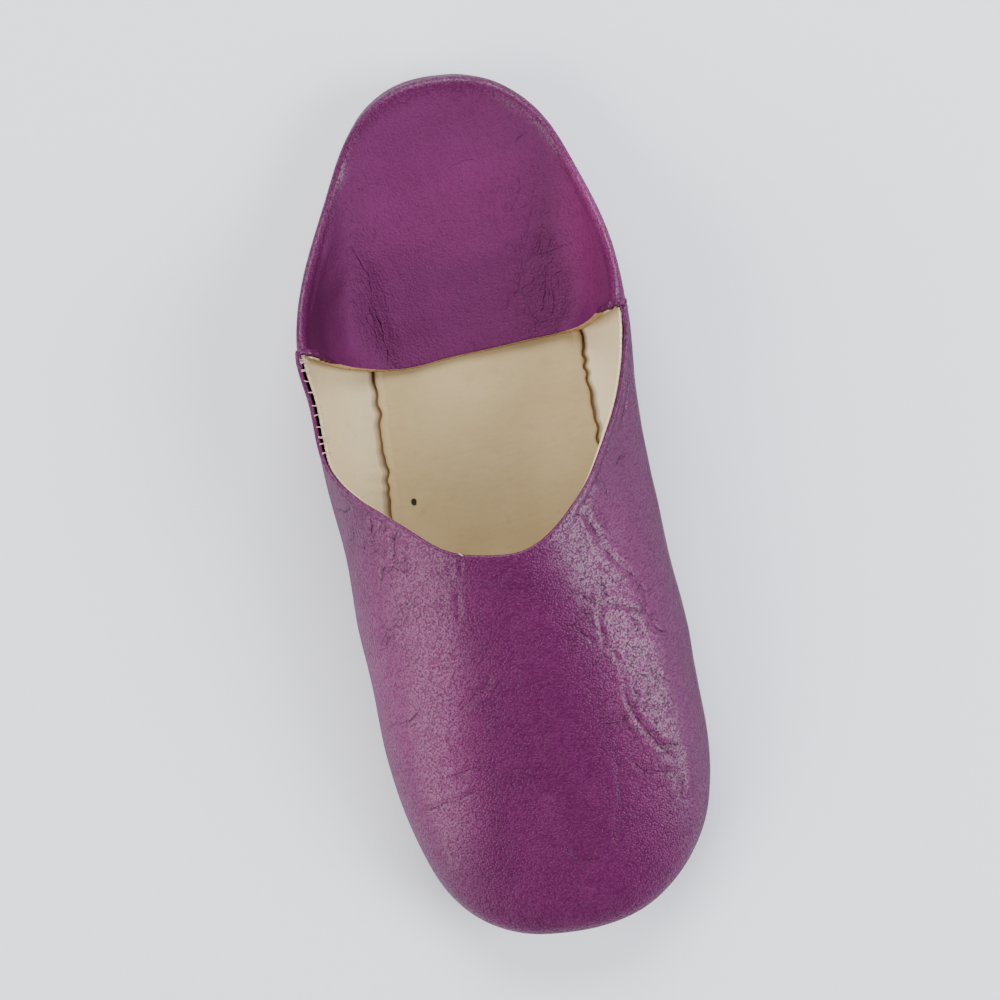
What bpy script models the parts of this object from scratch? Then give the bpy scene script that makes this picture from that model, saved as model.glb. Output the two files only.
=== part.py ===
"""A babouche slipper for the right foot, standing empty on its sole with its heel quarter folded down.

The toe points to -Y and the big toe's side is +X. Every shape hangs on two closed curves round the foot: the
edge of the sole, and the top of the upper. Both are functions of a turn from 0 to 1, which runs from the back of
the heel along the outer (lateral) side to the toe at 0.5, and back along the inner (medial) side.
"""

import math

import bmesh
import bpy
import numpy as np

# Driving sizes, in metres
SOLE_LENGTH = 0.240
BALL_WIDTH = 0.080
INSTEP_HEIGHT = 0.050
SIDE_HEIGHT = 0.035
HEEL_RIM_HEIGHT = 0.0155
SOLE_THICKNESS = 0.0035
INSOLE_THICKNESS = 0.0018
UPPER_WALL = 0.0018
QUARTER_WALL = 0.0016
OVERHANG = 0.0050
TOE_SPRING = 0.0040
ARCH_RISE = 0.0015
FOLD_RADIUS = 0.0026
ROLL_WIDTH = 0.0022
ROLL_RISE = 0.0005
SOLE_LEDGE = 0.0008
SOLE_CHAMFER = 0.0006
INSOLE_CHAMFER = 0.0003
GAP = 0.0003
SEAM_GAP = 0.0005

# Half widths of the sole at its sections: share of the length from the heel, then shares of the ball width
SOLE_SECTIONS = (
    # along, lateral, medial
    (0.000, 0.000, 0.000),
    (0.012, 0.185, 0.165),
    (0.045, 0.292, 0.272),
    (0.095, 0.350, 0.336),
    (0.165, 0.394, 0.384),
    (0.250, 0.421, 0.412),
    (0.340, 0.429, 0.424),
    (0.420, 0.428, 0.434),
    (0.500, 0.430, 0.458),
    (0.600, 0.446, 0.508),
    (0.700, 0.455, 0.552),
    (0.790, 0.440, 0.578),
    (0.860, 0.405, 0.570),
    (0.920, 0.346, 0.520),
    (0.960, 0.276, 0.436),
    (0.988, 0.170, 0.312),
    (1.000, -0.045, 0.045),
)

# The upper at its sections round the foot. The leather leaves the sole's edge, is widest at `out` overhangs past it
# and at `belly` of its height, and ends at the top point. `level` is 0 at the heel rim's height, 1 at the side's
# and 2 at the instep's. `rise`, `pull` and `drop` shape the run from the belly to the top.
UPPER_SECTIONS = (
    # turn, out, belly, along, across, level, rise, pull, drop
    (0.000, 1.02, 0.62, -0.014, 0.010, 0.00, 0.40, 0.30, 0.40),
    (0.035, 1.25, 0.62, 0.004, -0.236, 0.00, 0.40, 0.30, 0.40),
    (0.068, 1.27, 0.62, 0.065, -0.414, 0.06, 0.40, 0.30, 0.40),
    (0.096, 1.82, 0.64, 0.148, -0.516, 0.28, 0.40, 0.30, 0.40),
    (0.130, 2.62, 0.68, 0.229, -0.585, 0.68, 0.40, 0.30, 0.40),
    (0.160, 2.84, 0.72, 0.300, -0.606, 1.00, 0.40, 0.20, 0.40),
    (0.195, 2.66, 0.60, 0.358, -0.580, 1.00, 0.50, 0.10, 0.40),
    (0.228, 2.46, 0.46, 0.409, -0.566, 1.03, 0.55, 0.10, 0.40),
    (0.262, 2.01, 0.34, 0.446, -0.532, 1.18, 0.55, 0.25, 0.40),
    (0.305, 1.51, 0.27, 0.481, -0.440, 1.42, 0.50, 0.40, 0.36),
    (0.355, 1.16, 0.22, 0.516, -0.303, 1.68, 0.42, 0.48, 0.34),
    (0.410, 1.11, 0.19, 0.548, -0.178, 1.88, 0.30, 0.50, 0.32),
    (0.460, 1.12, 0.18, 0.561, -0.081, 1.98, 0.22, 0.50, 0.32),
    (0.500, 1.24, 0.18, 0.566, 0.012, 2.00, 0.20, 0.50, 0.32),
    (0.540, 1.14, 0.18, 0.566, 0.106, 1.98, 0.22, 0.50, 0.32),
    (0.590, 1.16, 0.19, 0.552, 0.205, 1.88, 0.30, 0.50, 0.32),
    (0.645, 1.26, 0.22, 0.524, 0.297, 1.68, 0.42, 0.48, 0.34),
    (0.695, 1.46, 0.27, 0.490, 0.376, 1.42, 0.50, 0.40, 0.36),
    (0.738, 1.79, 0.34, 0.448, 0.445, 1.18, 0.55, 0.25, 0.40),
    (0.772, 2.01, 0.46, 0.407, 0.504, 1.03, 0.55, 0.10, 0.40),
    (0.806, 2.21, 0.60, 0.358, 0.547, 1.00, 0.50, 0.10, 0.40),
    (0.847, 2.47, 0.72, 0.295, 0.571, 1.00, 0.40, 0.20, 0.40),
    (0.873, 2.32, 0.68, 0.233, 0.560, 0.68, 0.40, 0.30, 0.40),
    (0.908, 1.72, 0.64, 0.150, 0.498, 0.28, 0.40, 0.30, 0.40),
    (0.932, 1.22, 0.62, 0.067, 0.402, 0.06, 0.40, 0.30, 0.40),
    (0.965, 1.02, 0.62, 0.006, 0.232, 0.00, 0.40, 0.30, 0.40),
)
LATERAL_SEAM = 0.160
MEDIAL_SEAM = 0.847

# The front edge of the folded quarter, for the fold's sections round the heel. `lifted` is how far the edge hangs
# above the insole, as a share of the fold's height: the flap's corners hang from the seams. `run` is how far the flap
# goes before it lies flat, as a share of the ball's width: it comes down softly from the heel and soon at the sides.
FLAP_EDGE = (
    # turn, along, across, lifted, run
    (0.000, 0.317, 0.019, 0.00, 0.56),
    (0.050, 0.321, -0.125, 0.00, 0.48),
    (0.092, 0.326, -0.262, 0.00, 0.28),
    (0.114, 0.324, -0.352, 0.04, 0.20),
    (0.134, 0.318, -0.450, 0.30, 0.18),
    (0.148, 0.311, -0.506, 0.60, 0.18),
    (0.160, 0.302, -0.541, 0.90, 0.18),
    (0.847, 0.296, 0.490, 0.90, 0.18),
    (0.858, 0.299, 0.450, 0.60, 0.19),
    (0.871, 0.304, 0.405, 0.28, 0.21),
    (0.889, 0.308, 0.337, 0.04, 0.24),
    (0.911, 0.310, 0.265, 0.00, 0.31),
    (0.950, 0.313, 0.150, 0.00, 0.48),
)

# The sole's underside, as shares of its length from the heel: it lifts over the arch and again at the toe
ARCH_SPAN = (0.27, 0.60)
SPRING_START = 0.80
SPRING_POWER = 1.8

# How the leather turns out from the sole's edge, as shares of the way out and up to its belly
FOOT_OUT = 0.50
FOOT_UP = 0.15
BELLY_DOWN = 0.45

# How much steeper than even the flap starts off from the fold, on its way down to the insole
FLAP_STEEP = 1.9

# How finely the curves are cut. A crowding over 1 draws the rows together at the start of their run.
UPPER_COLUMNS = 72
UPPER_ROWS = 11
UPPER_CROWDING = 1.25
QUARTER_COLUMNS = 48
WALL_ROWS = 5
FOLD_ROWS = 6
FLAP_ROWS = 9
FLAP_CROWDING = 1.3
PLATE_STATIONS = 44
CURVE_SAMPLES = 60
TURN_STEP = 0.0001

# The rows of the rolled topline, as shares of its width below the top: plain leather, then the roll, then the edge
ROLL_START = 1.2
ROLL_ROWS = (0.95, 0.5, 0.15)

LEATHER_COLOUR = (0.190, 0.030, 0.130, 1.0)
NATURAL_COLOUR = (0.520, 0.420, 0.270, 1.0)
SOLE_COLOUR = (0.420, 0.300, 0.180, 1.0)

UPPER_BASE = SOLE_THICKNESS + GAP
INSOLE_TOP = UPPER_BASE + INSOLE_THICKNESS
FLAP_FLOOR = INSOLE_TOP + GAP + QUARTER_WALL


def clear_scene():
    for obj in list(bpy.data.objects):
        bpy.data.objects.remove(obj, do_unlink=True)


def closed_spline(knots, values):
    """A smooth closed curve: a function of the turn that passes through values[i] at knots[i]."""
    knots = np.asarray(knots, float)
    values = np.asarray(values, float)
    count = len(knots)
    step = np.diff(np.append(knots, knots[0] + 1))
    before = np.roll(step, 1)
    slope = (np.roll(values, -1, 0) - values) / step[:, None]
    matrix = np.zeros((count, count))
    for i in range(count):
        matrix[i, i - 1] += before[i]
        matrix[i, i] += 2 * (before[i] + step[i])
        matrix[i, (i + 1) % count] += step[i]
    bend = np.linalg.solve(matrix, 6 * (slope - np.roll(slope, 1, 0)))

    def at(turn):
        turn = np.mod(np.asarray(turn, float) - knots[0], 1) + knots[0]
        i = np.searchsorted(knots, turn, side="right") - 1
        j = (i + 1) % count
        h = step[i][..., None]
        a = (turn - knots[i])[..., None]
        b = h - a
        curved = (bend[i] * b**3 + bend[j] * a**3) / (6 * h)
        return curved + (values[i] / h - bend[i] * h / 6) * b + (values[j] / h - bend[j] * h / 6) * a

    return at


def place(along, across):
    """A point in plan from its shares of the sole's length and the ball's width."""
    return np.stack([across * BALL_WIDTH, (0.5 - along) * SOLE_LENGTH], -1)


def make_sole_edge():
    """The sole's edge as a function of the turn, with the toe tip at 0.5."""
    rows = np.array(SOLE_SECTIONS)
    lateral = place(rows[:, 0], -rows[:, 1])
    medial = place(rows[::-1, 0], rows[::-1, 2])
    knots = []
    for start, side in ((0.0, lateral), (0.5, medial)):
        walked = np.cumsum(np.linalg.norm(np.diff(side, axis=0), axis=1))
        knots += [start, *(start + 0.5 * walked[:-1] / walked[-1])]
    return closed_spline(knots, np.concatenate([lateral[:-1], medial[:-1]]))


def make_upper_shape():
    """The upper's section values as a function of the turn, with the top point in metres."""
    rows = np.array(UPPER_SECTIONS)
    top = place(rows[:, 3], rows[:, 4])
    height = np.interp(rows[:, 5], (0, 1, 2), (HEEL_RIM_HEIGHT, SIDE_HEIGHT, INSTEP_HEIGHT))
    columns = [rows[:, 1] * OVERHANG, rows[:, 2], *top.T, height, *rows[:, 6:].T]
    return closed_spline(rows[:, 0], np.stack(columns, 1))


def make_flap_edge():
    rows = np.array(FLAP_EDGE)
    edge = place(rows[:, 1], rows[:, 2])
    return closed_spline(rows[:, 0], np.column_stack([edge, rows[:, 3], rows[:, 4] * BALL_WIDTH]))


sole_edge = make_sole_edge()
upper_shape = make_upper_shape()
flap_edge = make_flap_edge()


def outward(turn):
    """The unit vector in plan that points out of the sole's edge."""
    tangent = sole_edge(turn + TURN_STEP) - sole_edge(turn - TURN_STEP)
    normal = np.stack([tangent[..., 1], -tangent[..., 0]], -1)
    return normal / np.linalg.norm(normal, axis=-1, keepdims=True)


def ground(y):
    """How far the sole's underside lifts off the floor at y."""
    along = 0.5 - y / SOLE_LENGTH
    arch = np.clip((along - ARCH_SPAN[0]) / (ARCH_SPAN[1] - ARCH_SPAN[0]), 0, 1)
    spring = np.clip((along - SPRING_START) / (1 - SPRING_START), 0, None)
    return ARCH_RISE * np.sin(math.pi * arch) ** 2 + TOE_SPRING * spring**SPRING_POWER


def bezier(a, b, c, d, count):
    t = np.linspace(0, 1, count)[:, None]
    return a * (1 - t) ** 3 + 3 * b * t * (1 - t) ** 2 + 3 * c * t**2 * (1 - t) + d * t**3


def point(plan, height):
    return np.array([plan[0], plan[1], height])


def walk_to(points, distances):
    """The points that lie at these distances along a line of points."""
    reached = np.concatenate([[0], np.cumsum(np.linalg.norm(np.diff(points, axis=0), axis=1))])
    return np.stack([np.interp(distances, reached, points[:, k]) for k in range(3)], 1)


def length_of(points):
    return np.linalg.norm(np.diff(points, axis=0), axis=1).sum()


def wall_line(turn):
    """The leather's outer face at one section, from the sole's edge to its top point."""
    edge = sole_edge(turn)
    out = outward(turn)
    overhang, belly, top_x, top_y, top_z, rise, pull, drop = upper_shape(turn)
    belly_z = UPPER_BASE + belly * (top_z - UPPER_BASE)
    foot = point(edge, UPPER_BASE)
    widest = point(edge + overhang * out, belly_z)
    top = np.array([top_x, top_y, top_z])
    up = np.array([0, 0, 1.0])
    climb = belly_z - UPPER_BASE
    first = foot + FOOT_OUT * (widest - foot) * (1, 1, 0) + FOOT_UP * climb * up
    lower = bezier(foot, first, widest - BELLY_DOWN * climb * up, widest, CURVE_SAMPLES)
    above = top_z - belly_z
    last = top + pull * (widest - top) * (1, 1, 0) - drop * above * up
    upper = bezier(widest, widest + rise * above * up, last, top, CURVE_SAMPLES)
    return np.concatenate([lower, upper[1:]])


def fold_line(turn, wall_top):
    """The fold over the wall's top and the flap that runs from it down to the insole and along to its front edge."""
    edge_x, edge_y, lifted, slope = flap_edge(turn)
    lifted = max(lifted, 0)
    run = np.array([edge_x, edge_y]) - wall_top[:2]
    reach = np.linalg.norm(run)
    inward = point(run / reach, 0)
    up = np.array([0, 0, 1.0])
    height = wall_top[2] - FLAP_FLOOR
    turned = math.pi / 2 + math.atan2(FLAP_STEEP * height, slope)
    angle = np.linspace(0, turned, CURVE_SAMPLES)[:, None]
    centre = wall_top + FOLD_RADIUS * inward
    fold = centre + FOLD_RADIUS * (np.sin(angle) * up - np.cos(angle) * inward)
    start = fold[-1]
    left = start[2] - FLAP_FLOOR
    power = FLAP_STEEP * height / left / (1 - lifted)
    gone = np.linalg.norm(start[:2] - wall_top[:2])
    away = np.linspace(0, reach - gone, 3 * CURVE_SAMPLES)
    height = FLAP_FLOOR + left * (lifted + (1 - lifted) * np.clip(1 - away / slope, 0, 1) ** power)
    flap = start * (1, 1, 0) + away[:, None] * inward + height[:, None] * up
    return fold, flap


def wall_faces(turns, outer, thickness):
    """The way a wall's outer face looks and its inner face, for columns of points at these turns."""
    across = np.gradient(outer, axis=0)
    up = np.gradient(outer, axis=1)
    for seam in (0, -1):
        line = wall_line(turns[seam])
        sideways = np.cross((0, 0, 1), line[-1] - line[0])
        across[seam] = sideways * np.sign(across[seam, 0] @ sideways)
    facing = np.cross(across, up)
    facing /= np.linalg.norm(facing, axis=2, keepdims=True)
    inner = outer - thickness * facing
    inner[:, 0, :2] = sole_edge(turns) - thickness * outward(turns)
    inner[:, 0, 2] = UPPER_BASE
    return facing, inner


def upper_grid(turns):
    """The outer face of the vamp and its side walls, a column for each section and a row for each height."""
    columns = []
    for turn in turns:
        line = wall_line(turn)
        top = length_of(line)
        plain = np.linspace(0, 1, UPPER_ROWS + 1) ** UPPER_CROWDING * (top - ROLL_START * ROLL_WIDTH)
        roll = top - ROLL_WIDTH * np.array([*ROLL_ROWS, 0])
        columns.append(walk_to(line, np.concatenate([plain, roll])))
    return np.array(columns)


def quarter_grid(turns):
    """The purple face of the heel quarter: up its wall, over the fold and along the flap to its front edge."""
    columns = []
    for turn in turns:
        wall = wall_line(turn)
        standing = length_of(wall) - FOLD_RADIUS
        fold, flap = fold_line(turn, walk_to(wall, [standing])[0])
        rows = [
            walk_to(wall, np.linspace(0, 1, WALL_ROWS + 1)[:-1] * standing),
            walk_to(fold, np.linspace(0, 1, FOLD_ROWS + 1)[:-1] * length_of(fold)),
            walk_to(flap, np.linspace(0, 1, FLAP_ROWS + 1) ** FLAP_CROWDING * length_of(flap)),
        ]
        columns.append(np.concatenate(rows))
    return np.array(columns)


def lift(grid):
    """The grid with each point raised by the sole's arch and toe spring."""
    lifted = grid.copy()
    lifted[..., 2] += ground(grid[..., 1])
    return lifted


def link(name, mesh, colour, roughness):
    material = bpy.data.materials.new(name + "_finish")
    material.use_nodes = True
    shader = material.node_tree.nodes["Principled BSDF"]
    shader.inputs["Base Color"].default_value = colour
    shader.inputs["Roughness"].default_value = roughness
    shader.inputs["Metallic"].default_value = 0.0
    mesh.materials.append(material)
    obj = bpy.data.objects.new(name, mesh)
    bpy.context.scene.collection.objects.link(obj)
    return obj


def to_mesh(name, points, faces):
    mesh = bpy.data.meshes.new(name)
    mesh.from_pydata([tuple(p) for p in points], [], faces)
    shape = bmesh.new()
    shape.from_mesh(mesh)
    bmesh.ops.recalc_face_normals(shape, faces=shape.faces)
    shape.to_mesh(mesh)
    shape.free()
    mesh.shade_smooth()
    return mesh


def shell(name, outer, inner):
    """A closed wall between two grids of points that match."""
    columns, rows = outer.shape[:2]
    size = columns * rows
    points = np.concatenate([lift(outer).reshape(-1, 3), lift(inner).reshape(-1, 3)])
    faces = []
    for i in range(columns - 1):
        for j in range(rows - 1):
            a = i * rows + j
            faces.append((a, a + 1, a + rows + 1, a + rows))
            faces.append((a + size, a + size + rows, a + size + rows + 1, a + size + 1))
    for j in range(rows - 1):
        for a in (j, (columns - 1) * rows + j):
            faces.append((a, a + 1, a + 1 + size, a + size))
    for i in range(columns - 1):
        for a in (i * rows, i * rows + rows - 1):
            faces.append((a, a + rows, a + rows + size, a + size))
    return to_mesh(name, points, faces)


def make_upper():
    """The vamp with its side walls: one hollow wall, with its rolled topline as a step."""
    apart = SEAM_GAP / SOLE_LENGTH / 2
    turns = np.linspace(LATERAL_SEAM + apart, MEDIAL_SEAM - apart, UPPER_COLUMNS + 1)
    outer = upper_grid(turns)
    facing, inner = wall_faces(turns, outer, UPPER_WALL)
    roll = slice(-1 - len(ROLL_ROWS), -1)
    outer[:, roll] += ROLL_RISE * facing[:, roll]
    return link("upper", shell("upper", outer, inner), LEATHER_COLOUR, 0.45)


def make_quarter():
    """The heel quarter: one wall that stands on the sole, folds over and lies on the insole."""
    turns = np.linspace(MEDIAL_SEAM - 1, LATERAL_SEAM, QUARTER_COLUMNS + 1)
    outer = quarter_grid(turns)
    facing, inner = wall_faces(turns, outer, QUARTER_WALL)
    return link("heel_quarter", shell("heel_quarter", outer, inner), LEATHER_COLOUR, 0.45)


def plate(name, rings, colour, roughness):
    """A plate with the sole's outline, from rings of (inset from the sole's edge, height), bottom ring first."""
    turns = np.arange(2 * PLATE_STATIONS) / (2 * PLATE_STATIONS)
    count = len(turns)
    points = []
    for inset, height in rings:
        plan = sole_edge(turns) - inset * outward(turns)
        points.append(lift(np.column_stack([plan, np.full(count, height)])))
    faces = []
    for k in range(len(rings) - 1):
        for i in range(count):
            a, b = k * count + i, k * count + (i + 1) % count
            faces.append((a, b, b + count, a + count))
    for first in (0, (len(rings) - 1) * count):
        for i in range(PLATE_STATIONS):
            corners = [i, i + 1, (count - i - 1) % count, (count - i) % count]
            corners = list(dict.fromkeys(corners))
            faces.append(tuple(first + c for c in corners))
    return link(name, to_mesh(name, np.concatenate(points), faces), colour, roughness)


def make_outsole():
    rings = (
        (SOLE_CHAMFER - SOLE_LEDGE, 0.0),
        (-SOLE_LEDGE, SOLE_CHAMFER),
        (-SOLE_LEDGE, SOLE_THICKNESS - SOLE_CHAMFER),
        (SOLE_CHAMFER - SOLE_LEDGE, SOLE_THICKNESS),
    )
    return plate("outsole", rings, SOLE_COLOUR, 0.6)


def make_insole():
    inset = UPPER_WALL + GAP
    rings = (
        (inset, UPPER_BASE),
        (inset, INSOLE_TOP - INSOLE_CHAMFER),
        (inset + INSOLE_CHAMFER, INSOLE_TOP),
    )
    return plate("insole", rings, NATURAL_COLOUR, 0.55)


def centre_on_floor(parts):
    """Moves the parts so that the origin is under the middle of the shoe's box."""
    corners = np.array([v.co for part in parts for v in part.data.vertices])
    middle = (corners.min(0) + corners.max(0)) / 2
    for part in parts:
        part.location = (-middle[0], -middle[1], 0)


def main():
    clear_scene()
    parts = [make_outsole(), make_insole(), make_upper(), make_quarter()]
    centre_on_floor(parts)


main()
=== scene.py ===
"""A babouche slipper: a right shoe of purple leather with a cream lining, and its heel quarter folded down.

The heel points to +Y, the big toe's side is +X and the sole stands on z = 0. Lengths are in metres.
"""
import math

import bmesh
import bpy
import numpy as np
from mathutils import Matrix, Vector


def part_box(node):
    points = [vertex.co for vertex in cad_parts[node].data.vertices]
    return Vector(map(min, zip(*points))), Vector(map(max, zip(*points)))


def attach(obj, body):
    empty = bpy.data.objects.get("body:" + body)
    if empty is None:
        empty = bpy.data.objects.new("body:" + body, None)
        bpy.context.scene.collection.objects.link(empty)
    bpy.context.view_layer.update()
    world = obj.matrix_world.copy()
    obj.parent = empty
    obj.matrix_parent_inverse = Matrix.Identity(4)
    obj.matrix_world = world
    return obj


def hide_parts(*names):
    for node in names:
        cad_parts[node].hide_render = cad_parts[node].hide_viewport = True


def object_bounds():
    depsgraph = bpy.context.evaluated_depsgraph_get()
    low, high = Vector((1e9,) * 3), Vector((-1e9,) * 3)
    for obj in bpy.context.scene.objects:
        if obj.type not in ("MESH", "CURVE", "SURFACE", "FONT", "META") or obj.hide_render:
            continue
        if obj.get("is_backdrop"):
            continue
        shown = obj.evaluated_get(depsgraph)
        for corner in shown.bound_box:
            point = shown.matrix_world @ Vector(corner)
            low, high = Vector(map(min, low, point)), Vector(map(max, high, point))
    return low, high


MM = 0.001

# Driving sizes of the shoe
SOLE_LENGTH = 0.240
BALL_WIDTH = 0.080
INSTEP_HEIGHT = 0.050
SIDE_HEIGHT = 0.035
HEEL_RIM_HEIGHT = 0.0155
SOLE_THICKNESS = 0.0035
INSOLE_THICKNESS = 0.0018
UPPER_WALL = 0.0018
QUARTER_WALL = 0.0016
OVERHANG = 0.0050
TOE_SPRING = 0.0040
ARCH_RISE = 0.0015
FOLD_RADIUS = 0.0026
SOLE_LEDGE = 0.0008
GAP = 0.0003

# The sole's half widths, as shares of the ball's width, at shares of its length from the heel
SOLE_SECTIONS = (  # along, lateral, medial
    (0.000, 0.000, 0.000),
    (0.012, 0.185, 0.165),
    (0.045, 0.292, 0.272),
    (0.095, 0.350, 0.336),
    (0.165, 0.394, 0.384),
    (0.250, 0.421, 0.412),
    (0.340, 0.429, 0.424),
    (0.420, 0.428, 0.434),
    (0.500, 0.430, 0.458),
    (0.600, 0.446, 0.508),
    (0.700, 0.455, 0.552),
    (0.790, 0.440, 0.578),
    (0.860, 0.405, 0.570),
    (0.920, 0.346, 0.520),
    (0.960, 0.276, 0.436),
    (0.988, 0.170, 0.312),
    (1.000, -0.045, 0.045),
)

# The upper's section at each turn round the sole: how far it bulges, and where its top point is
UPPER_SECTIONS = (  # turn, out, belly, along, across, level, rise, pull, drop
    (0.000, 1.02, 0.62, -0.014, 0.010, 0.00, 0.40, 0.30, 0.40),
    (0.035, 1.25, 0.62, 0.004, -0.236, 0.00, 0.40, 0.30, 0.40),
    (0.068, 1.27, 0.62, 0.065, -0.414, 0.06, 0.40, 0.30, 0.40),
    (0.096, 1.82, 0.64, 0.148, -0.516, 0.28, 0.40, 0.30, 0.40),
    (0.130, 2.62, 0.68, 0.229, -0.585, 0.68, 0.40, 0.30, 0.40),
    (0.160, 2.84, 0.72, 0.300, -0.606, 1.00, 0.40, 0.20, 0.40),
    (0.195, 2.66, 0.60, 0.358, -0.580, 1.00, 0.50, 0.10, 0.40),
    (0.228, 2.46, 0.46, 0.409, -0.566, 1.03, 0.55, 0.10, 0.40),
    (0.262, 2.01, 0.34, 0.446, -0.532, 1.18, 0.55, 0.25, 0.40),
    (0.305, 1.51, 0.27, 0.481, -0.440, 1.42, 0.50, 0.40, 0.36),
    (0.355, 1.16, 0.22, 0.516, -0.303, 1.68, 0.42, 0.48, 0.34),
    (0.410, 1.11, 0.19, 0.548, -0.178, 1.88, 0.30, 0.50, 0.32),
    (0.460, 1.12, 0.18, 0.561, -0.081, 1.98, 0.22, 0.50, 0.32),
    (0.500, 1.24, 0.18, 0.566, 0.012, 2.00, 0.20, 0.50, 0.32),
    (0.540, 1.14, 0.18, 0.566, 0.106, 1.98, 0.22, 0.50, 0.32),
    (0.590, 1.16, 0.19, 0.552, 0.205, 1.88, 0.30, 0.50, 0.32),
    (0.645, 1.26, 0.22, 0.524, 0.297, 1.68, 0.42, 0.48, 0.34),
    (0.695, 1.46, 0.27, 0.490, 0.376, 1.42, 0.50, 0.40, 0.36),
    (0.738, 1.79, 0.34, 0.448, 0.445, 1.18, 0.55, 0.25, 0.40),
    (0.772, 2.01, 0.46, 0.407, 0.504, 1.03, 0.55, 0.10, 0.40),
    (0.806, 2.21, 0.60, 0.358, 0.547, 1.00, 0.50, 0.10, 0.40),
    (0.847, 2.47, 0.72, 0.295, 0.571, 1.00, 0.40, 0.20, 0.40),
    (0.873, 2.32, 0.68, 0.233, 0.560, 0.68, 0.40, 0.30, 0.40),
    (0.908, 1.72, 0.64, 0.150, 0.498, 0.28, 0.40, 0.30, 0.40),
    (0.932, 1.22, 0.62, 0.067, 0.402, 0.06, 0.40, 0.30, 0.40),
    (0.965, 1.02, 0.62, 0.006, 0.232, 0.00, 0.40, 0.30, 0.40),
)
LATERAL_SEAM = 0.160
MEDIAL_SEAM = 0.847

# The front edge of the folded heel quarter
FLAP_EDGE = (  # turn, along, across, lifted, run
    (0.000, 0.317, 0.019, 0.00, 0.56),
    (0.050, 0.321, -0.125, 0.00, 0.48),
    (0.092, 0.326, -0.262, 0.00, 0.28),
    (0.114, 0.324, -0.352, 0.04, 0.20),
    (0.134, 0.318, -0.450, 0.30, 0.18),
    (0.148, 0.311, -0.506, 0.60, 0.18),
    (0.160, 0.302, -0.541, 0.90, 0.18),
    (0.847, 0.296, 0.490, 0.90, 0.18),
    (0.858, 0.299, 0.450, 0.60, 0.19),
    (0.871, 0.304, 0.405, 0.28, 0.21),
    (0.889, 0.308, 0.337, 0.04, 0.24),
    (0.911, 0.310, 0.265, 0.00, 0.31),
    (0.950, 0.313, 0.150, 0.00, 0.48),
)

ARCH_SPAN = (0.27, 0.60)
SPRING_START = 0.80
SPRING_POWER = 1.8
FOOT_OUT = 0.50
FOOT_UP = 0.15
BELLY_DOWN = 0.45
FLAP_STEEP = 1.9
CURVE_SAMPLES = 60
TURN_STEP = 0.0001
UP = np.array([0, 0, 1.0])

UPPER_BASE = SOLE_THICKNESS + GAP
INSOLE_TOP = UPPER_BASE + INSOLE_THICKNESS
FLAP_FLOOR = INSOLE_TOP + GAP + QUARTER_WALL

# How finely the skins are drawn
VAMP_COLUMNS = 560
VAMP_ROWS = 140
LINING_COLUMNS = 520
LINING_ROWS = 44
QUARTER_COLUMNS = 360
WALL_ROWS = 40
FOLD_ROWS = 20
FLAP_ROWS = 120
PLATE_STATIONS = 300
PLATE_ACROSS = 40

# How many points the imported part's sole has round its edge
PART_STATIONS = 88

# Where the skins end at a side seam, in turns
SEAM_INSET = 0.0005
SEAM_TUCK = 0.0012
LINING_PAST_SEAM = 0.0014

# The insole's worn edge, in metres inwards from its outline and above its top
INSOLE_EDGE = (  # inwards, above
    (0.0, -0.0004),
    (0.0002, 0.0001),
    (0.0007, 0.0003),
    (0.0016, 0.00022),
    (0.0023, 0.00012),
    (0.0027, -0.00005),
    (0.0034, 0.0),
    (0.0050, 0.0),
)

# The turned topline of the vamp
BAND_WIDTH = 0.0023
BAND_RISE = 0.00035
BAND_GROOVE = 0.00022
CAP_THICKNESS = 0.0013
CAP_DEPTH = 0.0016

# Colours of the purple leather, from the paler tone that also paints its sheen to the painted shade in its
# creases and grooves
PURPLE_PALE = (0.205, 0.022, 0.126, 1)
PURPLE = (0.088, 0.0035, 0.057, 1)
PURPLE_DEEP = (0.071, 0.0020, 0.046, 1)
PURPLE_DULL = (0.108, 0.016, 0.078, 1)
PURPLE_DARK = (0.042, 0.001, 0.027, 1)
PURPLE_LINE = (0.022, 0.0005, 0.013, 1)

# Colours of the undyed leather: light, dark and warm, then its painted light, the painted shade in the crack
# beside the insole, and the painted shade inside the pin hole
LINING_CREAM = ((0.60, 0.49, 0.29, 1), (0.53, 0.42, 0.235, 1), (0.44, 0.31, 0.15, 1))
INSOLE_CREAM = ((0.49, 0.375, 0.195, 1), (0.42, 0.31, 0.150, 1), (0.34, 0.225, 0.095, 1))
CREAM_PAINTED_LIGHT = (0.80, 0.665, 0.43, 1)
CREAM_CRACK_SHADE = (0.150, 0.085, 0.032, 1)
HOLE_SHADE = (0.012, 0.004, 0.002, 1)

# Camera, light, room and floor
CAMERA_OVER = (0.0583, -0.0095)
CAMERA_HEIGHT = 0.600
CAMERA_ROLL = 7.5
CAMERA_VIEW = 0.290
CAMERA_AIM = 0.015
SENSOR = 36
LIGHTS = (  # name, place, size, watts, colour
    ("left_soft", (-0.98, -0.32, 0.66), (1.1, 0.8), 18, (1.0, 0.95, 0.93)),
    ("right_soft", (1.02, -0.28, 0.66), (0.7, 0.6), 20, (0.96, 0.97, 1.0)),
    ("heel_soft", (0.10, 1.15, 0.95), (1.2, 0.8), 28, (1.0, 1.0, 1.0)),
)
LIGHT_AIM = (0, 0, 0.02)
ROOM_LIGHT = 0.365
ROOM_COLOUR = (0.91, 0.95, 1.0, 1)
FLOOR_HALF = 3.0

# How a crease is drawn: its trough and banks as shares of its width and depth, and its fine cut in mm
TROUGH_WIDE = 1.7
TROUGH_DEEP = 0.45
BANK_AT = 2.1
BANK_WIDE = 1.1
FULL_CUT_DEPTH = 0.30
CUT_ENDS = (0.9, 1.5)
CREASE_STEPS = 41

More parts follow.
